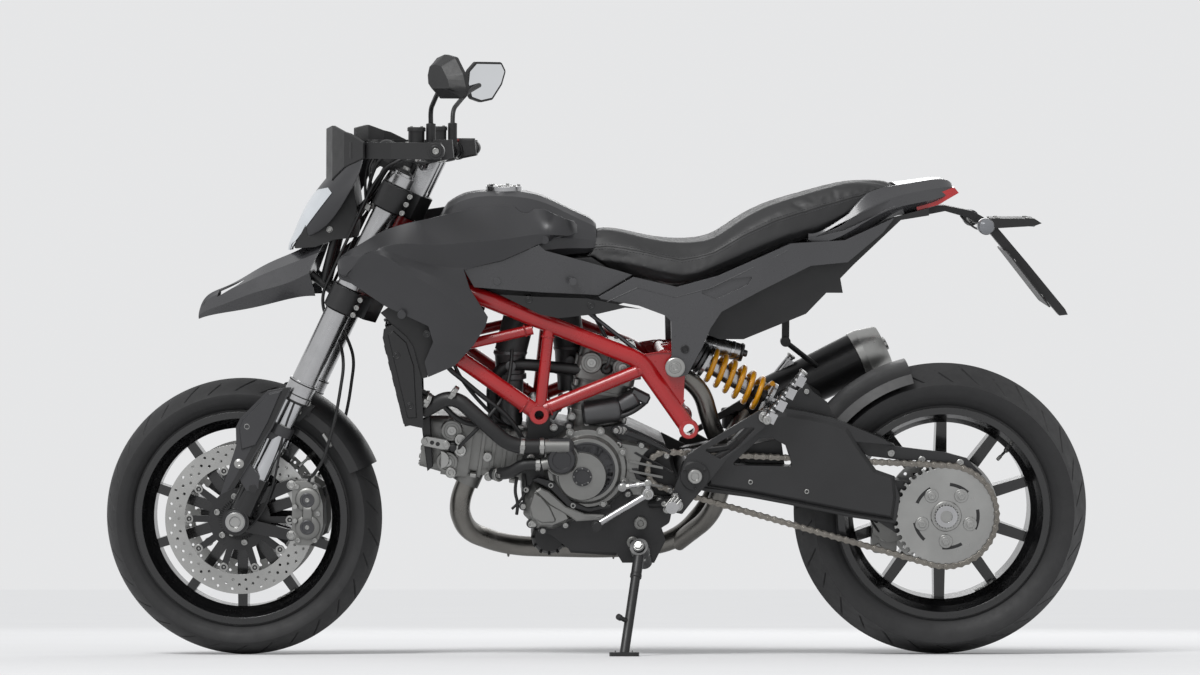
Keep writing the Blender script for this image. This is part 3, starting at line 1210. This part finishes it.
def seat_stitching(cushion):
    """Welted seam along each side of the seat with a row of stitches on either side of it."""
    back = CHASSIS.inverted()
    stitches, welt = Form(), Form()
    for side in (-1, 1):
        line = []
        for (x0, y0, z0), (x1, y1, z1) in zip(SEAT_SEAM, SEAT_SEAM[1:]):
            start, end = Vector((x0, side * y0, z0)), Vector((x1, side * y1, z1))
            count = round((end - start).length / STITCH_PITCH)
            line += [start + (end - start) * (k / count) for k in range(count)]
        ring_points = []
        for k, here in enumerate(line[:-1]):
            ahead = (line[k + 1] - here).normalized()
            _, seat, normal, _ = cushion.closest_point_on_mesh(CHASSIS @ here)
            out = (back.to_3x3() @ normal).normalized()
            seat = back @ seat
            over = ahead.cross(out).normalized()
            ring_points.append((seat, out, over, ahead))
            for row in STITCH_ROWS:
                _, spot, spot_normal, _ = cushion.closest_point_on_mesh(CHASSIS @ (seat + over * row))
                up = (back.to_3x3() @ spot_normal).normalized()
                stitches.turned(back @ spot + up * 0.25 - ahead * 2, ahead,
                                [(0, 0.45), (0.8, 0.8), (3.2, 0.8), (4.0, 0.45)], 6)
        welt.skin([[seat + over * (1.5 * math.cos(turn)) + out * (1.1 * math.sin(turn) - 0.1)
                    for turn in turns(8)]
                   for seat, out, over, ahead in ring_points])
    stitches.piece("seat_stitches", "seat_cover", look="thread")
    welt.piece("seat_welts", "seat_cover")


seat_stitching(padded_seat())

# ------------------------------------------------------------------ handlebar, levers and wiring
STEM_BACK = 36.0              # from the front axle back to the steering axis


def on_stem(height, ahead=0.0):
    """Place on the steering axis, this far up from the front axle and ahead."""
    return FRONT_AXLE - STEER_AHEAD * STEM_BACK + STEER_UP * height + STEER_AHEAD * ahead


BAR_CLAMP = on_stem(852, 4)
BAR_END = BAR_CLAMP + Vector((-56, 395, 36))
BAR_KNEE = BAR_CLAMP + Vector((-22, 205, 30))
BAR_INWARD = (BAR_KNEE - BAR_END).normalized()


def on_bar(side, along, ahead=0.0, up=0.0):
    """Place on the handlebar's outer run, this far in from its end."""
    at = BAR_END + BAR_INWARD * along + Vector((ahead, 0, up))
    return Vector((at.x, side * at.y, at.z))


def bar_axis(side):
    """Direction of the handlebar's outer run, from its end inward."""
    return Vector((BAR_INWARD.x, side * BAR_INWARD.y, BAR_INWARD.z))


def grips():
    """Ribs and pads of the rubber grips."""
    ribs, pads = Form(), Form()
    for side in (-1, 1):
        axis = bar_axis(side)
        for k in range(15):
            ribs.turned(on_bar(side, 14 + 6.6 * k), axis,
                        [(-1.9, 15.5), (-1.2, 16.6), (1.2, 16.6), (1.9, 15.5)], 28)
        for turn in turns(10):
            first, second = square_to(axis)
            at = on_bar(side, 113) + (first * math.cos(turn) + second * math.sin(turn)) * 15.6
            pads.block(at, axis, first, (9, 3, 3), 0.6)
    ribs.piece("grip_ribs", "rubber", "steering")
    pads.piece("grip_pads", "rubber", "steering")


def switches():
    """Switch housings and buttons, lever and perch bolts, reservoir caps and bar-end bolts."""
    black, bright, red = Form(), Form(), Form()
    for side in (-1, 1):
        for k, (up, size) in enumerate(((12, 9), (0, 11), (-12, 8))):
            black.block(on_bar(side, 141 + (k % 2) * 4, -19, up), bar_axis(side), UP,
                        (size, 6, size * 0.7), 1.4)
        end = on_bar(side, 0)
        black.slab([(end.x + 22, end.z + 22), (end.x - 18, end.z + 22), (end.x - 22, end.z - 16),
                    (end.x + 16, end.z - 24)], on_bar(side, 132).y, on_bar(side, 150).y, 4)
        bright.bolt(on_bar(side, 165, 46, 17.4), UP, 7, 5)
        bright.bolt(on_bar(side, 165, -8, 14.6), (-0.5, 0, 1), 4, 4)
        bright.bolt(on_bar(side, 165, -8, -14.6), (-0.5, 0, -1), 4, 4)
        black.turned(on_bar(side, 165, 30, 44), UP, [(0, 19), (7, 19), (9, 17), (9, 4)], 30)
        for turn in (0.6, 3.7):
            bright.bolt(on_bar(side, 165, 30 + 12 * math.cos(turn),
                               53) + Vector((0, 12 * math.sin(turn), 0)), UP, 3, 2)
        bright.bolt(Vector((end.x, side * 419, end.z)), (0, side, 0), 7, 4)
    red.block(on_bar(-1, 147, -6, 22), bar_axis(-1), UP, (10, 9, 7), 2)
    black.piece("switch_gear", "dark_plastic", "steering")
    bright.piece("control_bolts", "steel", "steering")
    red.piece("stop_switch", "lens_red", "steering")


def risers():
    """Bolts of the handlebar's clamps and the nut of the top yoke."""
    bolts, alloy = Form(), Form()
    for side in (-1, 1):
        for across in (-10, 10):
            for ahead in (-17, 17):
                at = BAR_CLAMP + STEER_AHEAD * ahead + STEER_UP * 17 + Vector((0, side * 45 + across, 0))
                bolts.bolt(at, STEER_UP, 5.5, 5)
    stem = on_stem(792)
    alloy.turned(stem, STEER_UP, [(0, 22), (5, 22), (7, 20)], 6)
    alloy.turned(stem, STEER_UP, [(5, 17), (9, 17), (10, 15), (10, 8), (4, 7)], 28)
    bolts.piece("riser_bolts", "steel", "steering")
    alloy.piece("stem_nut", "fork_silver", "steering")


def dash_details():
    """Instrument glass and its side buttons."""
    glass, buttons = Form(), Form()
    middle = on_stem(844.5, 70)
    glass.block(middle, LEFT, STEER_UP, (136, 66, 1.6), 0.6)
    glass.piece("dash_glass", "lens_clear", "steering", "dash_glass")
    for side in (-1, 1):
        buttons.turned(middle + Vector((0, side * 71, 0)), STEER_UP, [(-2, 3.4), (3.6, 3.4), (4.2, 2.6)], 14)
    buttons.piece("dash_buttons", "dark_plastic", "steering")


def mirror_glass():
    """Mirror glasses and the stems' collars."""
    glass, collar = Form(), Form()
    turned_in = math.radians(40)
    for side in (-1, 1):
        base = on_bar(side, 164)
        head = base + Vector((-46, side * 140, 144))
        look = Vector((-math.cos(turned_in), side * -math.sin(turned_in), 0))
        along = Vector((-math.sin(turned_in), side * math.cos(turned_in), 0))
        up = look.cross(along)
        centre = head + Vector((-6, side * 22, 10)) + look * 8.1
        outline = inset([(-58, -8), (-46, -40), (-14, -48), (22, -42), (52, -8), (64, 22), (50, 42),
                         (-30, 42), (-54, 22)], 5)
        ring = [centre + along * a + up * b for a, b in outline]
        glass.skin([ring, [point + look * 0.8 for point in ring]])
        collar.turned(base + Vector((0, 0, 12)), UP, [(0, 12), (10, 12), (12, 10)], 6)
        collar.turned(base + Vector((0, 0, 46)), UP, [(0, 9), (12, 9), (15, 7)], 24)
    glass.piece("mirror_glasses", "chrome", "steering", "mirror_glass")
    collar.piece("mirror_collars", "engine_black", "steering")


def bar_wiring():
    """Clutch and brake hoses, throttle cables and switch looms, from the bar to behind the cowl."""
    for side in (-1, 1):
        hose("lever_hose_" + SIDE_NAMES[side], [on_bar(side, 165, 26, -8), on_bar(side, 176, 40, -26),
                                                (1190, side * 120, 1085), (1226, side * 70, 1020),
                                                (1230, side * 54, 960), (1262, side * 48, 930)], 3.6,
                                                "steering")
        hose("switch_loom_" + SIDE_NAMES[side],
             [on_bar(side, 150, 0, -18), on_bar(side, 196, 20, -26), (1150, side * 118, 1082),
              (1190, side * 66, 1046), (1216, side * 40, 1000), (1262, side * 34, 950)], 4.2, "steering")
    for k in range(2):
        hose(f"throttle_cable_{k}", [on_bar(-1, 160, 4 + 8 * k, -14), on_bar(-1, 210, 50 + 8 * k, -10),
                                     (1196, -96 + 8 * k, 1096), (1238, -30 + 8 * k, 1060),
                                     (1226, 20, 1004), (1208, 28, 940)], 2.8, "steering")
    hose("clutch_hose_inner", [on_bar(1, 170, 52, -2), (1176, 150, 1120), (1214, 92, 1082),
                               (1238, 62, 1036), (1232, 58, 970)], 3.2, "steering")
    clamps = Form()
    for side in (-1, 1):
        clamps.turned(on_bar(side, 165, 26, -9), (0.3, -0.4 * side, -0.8),
                      [(-6, 5.5), (8, 5.5), (10, 4.4)], 6)
        clamps.block((1229, side * 56, 966), STEER_UP, LEFT, (16, 14, 12), 2)
    clamps.piece("bar_hose_fittings", "steel", "steering")


def guard_fittings():
    """Rings round the hand guards' end bolts."""
    bolts = Form()
    for side in (-1, 1):
        at = Vector((on_bar(side, 0).x, side * 419.2, on_bar(side, 0).z))
        bolts.turned(at, (0, side, 0), [(-1, 13), (0.8, 13), (2, 11.6), (2, 8), (0.4, 7.4)], 28)
    bolts.piece("guard_end_rings", "engine_black", "steering")


grips()
switches()
risers()
dash_details()
mirror_glass()
bar_wiring()
guard_fittings()

# ------------------------------------------------------------------ footrests, levers and stand
PIVOT = Vector((540, 0, 408))


def heel_fittings():
    """Bolts of the heel plates, and rings and caps of the swingarm's pivot."""
    bright, dark = Form(), Form()
    for side in (-1, 1):
        out = (0, side, 0)
        for x, z in ((576, 345), (394, 534)):
            bright.turned((x, side * 159, z), out, [(0, 12), (2, 12), (3, 11)], 28)
            bright.bolt((x, side * 162, z), out, 8.5, 6)
        pivot = PIVOT + Vector((0, side * 166, 0))
        dark.turned(pivot, out, [(-6, 30.6), (-4, 30.6), (-3, 29.4), (-3, 19)], 48)
        bright.turned(pivot, out, [(-1, 15), (3, 15), (4.4, 13.6), (4.4, 9), (1.2, 8), (1.2, 2)], 36)
        for turn in turns(3, 0.5):
            dark.turned(PIVOT + polar(24.5, turn, side * 163), out,
                        [(-2, 3.2), (1.4, 3.2), (1.8, 2.4), (0.4, 1.6)], 14)
        bright.bolt((603, side * 148, 347), (0.4, side * 0.9, 0), 6, 5)
    bright.piece("heel_plate_bolts", "steel")
    dark.piece("pivot_rings", "engine_black")


def peg_fittings():
    """Teeth and pins of the rider's footrests, and rubbers and pins of the passenger's."""
    teeth, pins, rubbers = Form(), Form(), Form()
    for side in (-1, 1):
        for k in range(6):
            y = 183.0 + 12 * k
            for turn in (0.35, 0.9, 1.45, 2.0, 2.55):
                teeth.block((582 + 2 * k + 12.6 * math.cos(turn), side * y, 352 + 12.6 * math.sin(turn)),
                            LEFT,
                            polar(1, turn), (5.4, 4.2, 6), 0.9)
        pins.turned((582, side * 174, 352), UP, [(-17, 7), (-15, 8), (14, 8), (15, 9), (18, 9)], 20)
        pins.nut((582, side * 174, 370), UP, 6, 4)
        base = Vector((390, side * 168, 532))
        along = Vector((312, side * 168, 630)) - base
        for k in range(9 if side > 0 else 3):
            at = base + along * (0.12 + 0.095 * k)
            rubbers.turned(at, along, [(-4, 7), (-3.2, 9.6), (3.2, 9.6), (4, 7)], 18)
        pins.turned((390, side * 182, 530), (0, side, 0),
                    [(-16, 9), (3, 9), (4.4, 7.6), (4.4, 4), (2, 3.4)], 24)
        pins.turned((314, side * 168, 628), along, [(0, 9), (3, 10.6), (6, 9), (7, 4)], 22)
    teeth.piece("peg_teeth", "steel")
    pins.piece("peg_pins", "steel")
    rubbers.piece("passenger_peg_rubbers", "rubber")


def pedal_fittings():
    """Gear lever rubber, its linkage joints, the brake pedal's tread and its pivot bolts."""
    grip, joints = Form(), Form()
    for side, hub, bolt_y in ((1, (640, 372), 184), (-1, (600, 350), -181)):
        y = side * 176
        for k in range(7):
            grip.turned((748, y + side * (7 + 4.2 * k), 306), LEFT,
                        [(-1.9, 9.4), (-1.2, 10.4), (1.2, 10.4), (1.9, 9.4)], 22)
        joints.bolt((hub[0], bolt_y, hub[1]), (0, side, 0), 8, 5)
        joints.turned((hub[0], side * 170, hub[1]), (0, side, 0), [(-6, 13), (6, 13), (8, 12)], 26)
    for x, z in ((640, 395), (694, 386)):
        joints.turned((x, 166, z), LEFT, [(0, 7.5), (12, 7.5), (13, 6)], 20)
        joints.nut((x, 178, z), LEFT, 4.8, 4)
    joints.turned((650, 172, 392.5), (44, 0, -7),
                  [(0, 4.2), (8, 4.2), (8, 6), (14, 6), (14, 3), (30, 3), (30, 6), (36, 6)], 6)
    grip.piece("lever_rubbers", "rubber")
    joints.piece("lever_joints", "steel")


def rear_brake_master():
    """Master cylinder, pushrod and fluid bottle behind the right footrest, with hoses and a lead."""
    alloy, bottle, bright = Form(), Form(), Form()
    foot, top = Vector((512, -176, 352)), Vector((474, -176, 452))
    alloy.turned(foot, top - foot, [(18, 9), (20, 11.5), (70, 11.5), (72, 14), (96, 14), (98, 9),
                                    (106, 8)], 24)
    alloy.block((497, -164, 404), top - foot, LEFT, (58, 8, 22), 2)
    bright.turned(foot, top - foot, [(-14, 4), (18, 4)], 12)
    bright.turned(foot + Vector((2, 0, -12)), RIGHT, [(-7, 8), (7, 8)], 16)
    for k in (0.35, 0.75):
        bright.bolt(foot + (top - foot) * k + Vector((0, -10, 0)), RIGHT, 5, 4)
    bottle.turned((448, -170, 470), UP, [(0, 11), (3, 15), (32, 15), (33, 17), (43, 17), (45, 15)], 24)
    alloy.piece("rear_master_cylinder", "cast_aluminium", look="dark_alloy")
    bottle.piece("rear_fluid_bottle", "dark_plastic")
    bright.piece("rear_master_bolts", "steel")
    hose("rear_fluid_hose", [(448, -170, 471), (450, -172, 448), (466, -176, 440), (480, -176, 438)], 4)
    hose("rear_brake_hose", [(474, -176, 450), (462, -174, 476), (450, -166, 482), (420, -150, 470),
                             (392, -116, 452), (352, -84, 470), (330, -40, 500), (300, 60, 536),
                             (262, 89, 520), (214, 90, 468), (176, 88, 404), (170, 80, 340),
                             (150, 58, 300), (136, 44, 290)], 3.4)
    hose("rear_speed_lead", [(128, 40, 262), (150, 66, 290), (182, 86, 348), (198, 90, 420),
                             (236, 92, 488), (276, 90, 534), (330, 62, 548)], 2.4)


def stand_fittings():
    """Nut and collar of the side stand's pivot, ring on its leg, ribs of its foot and its peg."""
    bright, dark = Form(), Form()
    pivot = Vector((655, 150, 250))
    foot = ground_place(692, 285)
    reach = (foot - pivot).normalized()
    folded = Vector((-0.97, 0.10, 0.20)).normalized()
    axis = reach.cross(folded).normalized()
    bright.nut(pivot + axis * 17, axis, 9, 7)
    bright.turned(pivot - axis * 14, axis, [(-10, 18.6), (2, 18.6)], 6)
    dark.turned(pivot + reach * 60, reach, [(-2, 11.8), (0, 12.4), (6, 12.4), (8, 11)], 30)
    for k in range(3):
        dark.turned(foot + Vector((-18 + 18 * k, 0, 0)) + GROUND_UP * 7.4, LEFT, [(-18, 1.6), (18, 1.6)], 8)
    tang = pivot + reach * 170
    dark.turned(tang + axis * 22 + Vector((16, 0, 0)), axis + Vector((0.5, 0, 0)),
                [(-2, 6.6), (6, 6.6), (8, 5)], 20)
    bright.piece("stand_bolts", "steel")
    dark.piece("stand_fittings", "engine_black", "side_stand")


GROUND_UP = (CHASSIS.inverted().to_3x3() @ Vector(UP)).normalized()


def ground_place(x, y):
    """Point of the floor below a place of the upright machine, in the upright machine's frame."""
    here = CHASSIS @ Vector((x, y, 0))
    down = (CHASSIS.to_3x3() @ Vector(UP)).normalized()
    return CHASSIS.inverted() @ (here - down * (here.z / down.z))


# ------------------------------------------------------------------ swingarm, shock and rear wheel


def swingarm_fittings():
    """Chain slider, lower rail, clamp bolts and the chain guard's screws."""
    strip, bright, pad = Form(), Form(), Form()
    strip.slab([(536, 384), (510, 379), (420, 366), (340, 351), (200, 323), (112, 309), (110, 302),
                (200, 315), (340, 343), (420, 358), (510, 370), (538, 376)], 122, 128.6, 1.5)
    for x, z in ((92, 262), (92, 286)):
        bright.bolt((x - 30, 98, z), LEFT, 7, 6)
    for x, z in ((214, 484), (118, 450), (52, 436), (-30, 430)):
        bright.turned((x, 101, z), LEFT, [(-6, 8), (1, 8), (2, 6.8), (2, 4), (0.8, 3.6)], 20)
    for x, z in ((300, 372), (420, 392)):
        bright.bolt((x, 131.5, z), LEFT, 5.5, 4)
    pad.slab([(556, 452), (530, 462), (470, 470), (452, 484), (440, 478), (462, 460), (520, 450),
              (552, 440)], 96, 126, 2)
    strip.piece("swingarm_lower_rail", "black_plastic")
    bright.piece("swingarm_bolts", "steel")
    pad.piece("chain_slider", "black_plastic")


def hub_fittings():
    """Bolts of the rear hub's disc carrier."""
    bright = Form()
    for turn in turns(6, 0.2):
        at = REAR_AXLE + polar(84, turn, 27.6)
        bright.bolt(at, LEFT, 6, 4)
    bright.piece("rear_hub_nut", "steel", "rear_wheel")


def caliper_and_disc():
    """Bolts, piston cap, bleed nipple and union of the rear caliper."""
    bright = Form()
    for dx, dz in ((-14, 24), (14, -24)):
        bright.bolt((124 + dx, 42, 265 + dz), LEFT, 6, 5)
    bright.turned((124, 42, 265), LEFT, [(-1, 15), (1.5, 15), (3, 13), (3, 9), (1, 8)], 28)
    bright.turned((140, 30, 303), (0.2, 0, 1), [(-4, 5), (3, 5), (3, 3.2), (11, 3), (13, 2.2)], 12)
    bright.turned((132, 36, 300), (0, 0.6, 1), [(-4, 7), (5, 7), (5, 5), (9, 5)], 14)
    bright.piece("rear_caliper_bolts", "steel")


def shock_fittings():
    """Shock's adjusting rings, bump rubber, reservoir cap, adjuster knobs and eye bolts."""
    top, foot = Vector((560, 0, 664)), Vector((336, 0, 532))
    down = (foot - top).normalized()
    alloy, black, bright = Form(), Form(), Form()
    for at in (34, 44):
        ring = top + down * at
        alloy.turned(ring, down, [(0, 31), (1, 33), (7, 33), (8, 31)], 12)
        alloy.turned(ring, down, [(-0.5, 29), (8.5, 29)], 36)
    for k in range(6):
        alloy.turned(top + down * (22 + 2.2 * k), down, [(-0.9, 19.4), (0, 20.2), (0.9, 19.4)], 32)
    black.turned(top + down * 176, down, [(0, 12), (6, 16), (18, 17), (22, 13), (30, 15), (33, 11)], 28)
    bright.turned(top + down * 172, down, [(0, 8.6), (42, 8.6)], 28)
    bright.turned(foot - down * 26, down, [(-4, 15), (2, 15), (4, 13)], 24)
    reservoir, end = Vector((510, -46, 670)), Vector((428, -46, 650))
    back = (end - reservoir).normalized()
    black.turned(end, back, [(-6, 20.4), (-1, 20.4), (2, 18.6), (2, 8)], 32)
    alloy.turned(end + back * 2, back, [(0, 7.6), (7, 7.6), (9, 6)], 14)
    for along in (20, 62):
        bright.turned(reservoir + back * along, back, [(-4, 20.3), (-3.4, 21.2), (3.4, 21.2), (4, 20.3)],
                      36)
    for eye in (top, foot):
        for side in (-1, 1):
            bright.nut(eye + Vector((0, side * 23, 0)), (0, side, 0), 8, 6)
    alloy.piece("shock_rings", "cast_aluminium", look="dark_alloy")
    black.piece("shock_rubber", "rubber")
    bright.piece("shock_bright_parts", "chrome")


# ------------------------------------------------------------------ exhaust
MUFFLER_START = Vector((412, -165, 508))
MUFFLER_LINE = (Vector((112, -182, 652)) - MUFFLER_START).normalized()
MUFFLER_ACROSS = (Vector(LEFT) - MUFFLER_LINE * MUFFLER_LINE.y).normalized()
MUFFLER_HIGH = MUFFLER_LINE.cross(MUFFLER_ACROSS)


def oval(along, tall, wide, count=48):
    """Ring of the silencer's section: flat across, this far along it."""
    middle = MUFFLER_START + MUFFLER_LINE * along
    return [middle + MUFFLER_ACROSS * (wide / 2 * math.cos(turn))
            + MUFFLER_HIGH * (tall / 2 * math.sin(turn)) for turn in turns(count)]


def muffler_fittings():
    """Straps, bright end cap with twin outlets, rivets and the mounting of the silencer."""
    straps, caps, rivets, dark = Form(), Form(), Form(), Form()
    for along, tall, wide in ((58, 100.6, 84.6), (282, 111.7, 95.7)):
        straps.skin([oval(along - 9, tall, wide), oval(along - 8, tall + 3, wide + 3),
                     oval(along + 8, tall + 3, wide + 3),
                     oval(along + 9, tall, wide)])
    caps.skin([oval(289, 112.4, 96.4), oval(290, 114.4, 98.4), oval(300, 110.6, 94.2), oval(333, 93.6, 75.6),
               oval(337, 88, 70), oval(337, 77, 61), oval(330, 76, 60)], capped=False)
    for offset in (-15, 15):
        caps.turned(MUFFLER_START + MUFFLER_LINE * 300 + Vector((0, offset, 2)), MUFFLER_LINE,
                    [(-14, 13.4), (41, 13.4), (43, 13.0), (43, 11.4), (6, 11.2)], 28)
    for turn, place in zip(turns(14), oval(64, 101, 85, 14)):
        out = (MUFFLER_ACROSS * math.cos(turn) + MUFFLER_HIGH * math.sin(turn)).normalized()
        rivets.turned(place, out, [(-1, 3.6), (1.2, 3.2), (2.2, 1.6)], 10)
    dark.turned((330, -112, 846), RIGHT, [(-1, 14), (4, 14), (6, 12)], 24)
    dark.bolt((330, -117, 846), RIGHT, 7, 6)
    dark.turned((330, -113, 668), RIGHT, [(-14, 11), (6, 11), (8, 9)], 22)
    straps.piece("muffler_straps", "steel")
    caps.piece("muffler_end_cap", "steel")
    rivets.piece("muffler_rivets", "steel")
    dark.piece("muffler_mounting", "engine_black")


def exhaust_fittings():
    """Clamps, hook springs and weld beads along the exhaust pipes."""
    clamps, beads = Form(), Form()
    for at, axis, radius in (((930, -138, 214), (1, -0.1, 0), 22), ((700, -146, 208), (1, 0, 0), 22),
                             ((455, -150, 415), (0.2, 0.1, -1), 22), ((1016, -4, 392), (0.3, 0, -1), 22)):
        beads.ring_bead(at, axis, radius + 0.4, 2.0)
    for at, axis, radius in (((470, -141, 345), (0.2, 0.1, -1), 22), ((620, 20, 626), (1, -0.35, 0), 20)):
        clamps.turned(at, axis, [(-9, radius + 0.4), (-8, radius + 2.6), (8, radius + 2.6),
                                 (9, radius + 0.4)], 36)
        clamps.block(Vector(at) + Vector((0, -radius - 5, 0)), axis, LEFT, (18, 12, 14), 2)
        clamps.bolt(Vector(at) + Vector((6, -radius - 6, 0)), (1, 0, 0.2), 4.5, 5)
    clamps.piece("exhaust_clamps", "steel")
    beads.piece("exhaust_weld_beads", "steel", look="muffler_steel")
    for k, (start, end) in enumerate((((399, -136, 502), (436, -129, 450)),
                                      ((419, -181, 499), (440, -172, 446)))):
        start, end = Vector(start), Vector(end)
        run = end - start
        first, second = square_to(run.normalized())
        route = [start + run * (i / 60) + (first * math.cos(i * 1.26) + second * math.sin(i * 1.26)) * 4.4
                 for i in range(61)]
        hose(f"exhaust_spring_{k}", route, 1.1, slot="steel")


def rear_extras():
    """Screws of the hugger and the plate carrier, plate bolts and reflector."""
    screws, red = Form(), Form()
    for x, z, y, side in ((300, 582, 98.4, 1), (318, 520, 96.0, 1), (300, 574, 98.2, -1),
                          (322, 520, 98.2, -1)):
        screws.bolt((x, side * y, z), (0, side, 0), 6, 4)
    normal = Vector((-0.78, 0, 0.62)).normalized()
    over = normal.cross(Vector(LEFT))
    middle = Vector((-172, 0, 820)) + normal * 3
    for y in (-60, 60):
        for up in (-48, 48):
            screws.turned(middle + Vector((0, y, 0)) + over * up, normal,
                          [(-1, 5.6), (1.4, 5.2), (2.6, 2.6)], 16)
    red.turned(middle + over * 62, normal, [(-1, 11), (4, 11), (5.6, 9), (6, 2)], 24)
    screws.piece("carrier_screws", "steel")
    red.piece("rear_reflector", "lens_red")


heel_fittings()
peg_fittings()
pedal_fittings()
rear_brake_master()
stand_fittings()
swingarm_fittings()
hub_fittings()
caliper_and_disc()
shock_fittings()
muffler_fittings()
exhaust_fittings()
rear_extras()

# ------------------------------------------------------------------ stage, light and camera
SEEN = 0.80                   # level at which the camera sees the floor and the background


def stage_material():
    """Pale floor, as bright as the background behind it, with the machine's shadow on it."""
    n = Nodes("studio_floor")
    cloud = n.noise(1.4, 3.0)
    pale = scaled((SEEN * 0.985, SEEN * 0.99, SEEN), 1.06)
    n.link(n.mix(n.spread(cloud, 0, 1), scaled(pale, 0.99), scaled(pale, 1.01)),
           n.shader.inputs["Base Color"])
    n.shader.inputs["Roughness"].default_value = 0.9
    n.shader.inputs["Specular IOR Level"].default_value = 0.0
    return n.material


def aimed(name, lamp, place):
    """A lamp at a place, turned towards the machine's middle."""
    box = bpy.data.objects.new(name, lamp)
    bpy.context.scene.collection.objects.link(box)
    box.location = place
    box.rotation_mode = "QUATERNION"
    box.rotation_quaternion = (Vector((0, 0, 0.6)) - Vector(place)).to_track_quat("-Z", "Y")
    return box


def studio():
    """Even light from the air, one broad key light, and two strips that draw highlights."""
    bpy.ops.mesh.primitive_circle_add(vertices=96, radius=60, fill_type="NGON")
    floor = bpy.context.object
    floor.name = "studio_floor"
    floor.data.materials.append(stage_material())

    world = bpy.data.worlds.new("studio_air")
    bpy.context.scene.world = world
    world.use_nodes = True
    tree = world.node_tree
    background = tree.nodes["Background"]
    rays = tree.nodes.new("ShaderNodeLightPath")
    seen = rays.outputs["Is Camera Ray"]
    for ray in ("Is Glossy Ray", "Is Transmission Ray"):
        either = tree.nodes.new("ShaderNodeMath")
        either.operation = "MAXIMUM"
        tree.links.new(seen, either.inputs[0])
        tree.links.new(rays.outputs[ray], either.inputs[1])
        seen = either.outputs["Value"]
    level = tree.nodes.new("ShaderNodeMapRange")
    level.inputs["To Min"].default_value = 0.46
    level.inputs["To Max"].default_value = SEEN
    tree.links.new(seen, level.inputs["Value"])
    tree.links.new(level.outputs["Result"], background.inputs["Strength"])
    background.inputs["Color"].default_value = (0.985, 0.99, 1.0, 1)

    key = bpy.data.lights.new("key_light", "SUN")
    key.energy = 2.0
    key.angle = math.radians(24)
    aimed("key_light", key, (3.0, 5.0, 6.4))
    for name, place in (("strip_left", (1.6, 4.2, 2.4)), ("strip_right", (-1.0, -4.2, 2.4))):
        lamp = bpy.data.lights.new(name, "AREA")
        lamp.shape = "RECTANGLE"
        lamp.size, lamp.size_y = 3.4, 0.7
        lamp.energy = 24
        aimed(name, lamp, place)


def add_camera():
    """Level with the machine's middle from its left side, far back, as in the photograph."""
    data = bpy.data.cameras.new("camera")
    data.lens, data.sensor_width = 125.9, 36.0
    data.clip_start, data.clip_end = 0.1, 100
    camera = bpy.data.objects.new("camera", data)
    bpy.context.scene.collection.objects.link(camera)
    camera.location = CAMERA_AT
    camera.rotation_mode = "QUATERNION"
    camera.rotation_quaternion = (Vector(CAMERA_AIM) - Vector(CAMERA_AT)).to_track_quat("-Z", "Y")
    bpy.context.scene.camera = camera


CAMERA_AT = (0.30, 8.90, 0.16)
CAMERA_AIM = (0.0, 0.0, 0.674)
studio()
add_camera()
bpy.context.scene.view_settings.view_transform = "Standard"
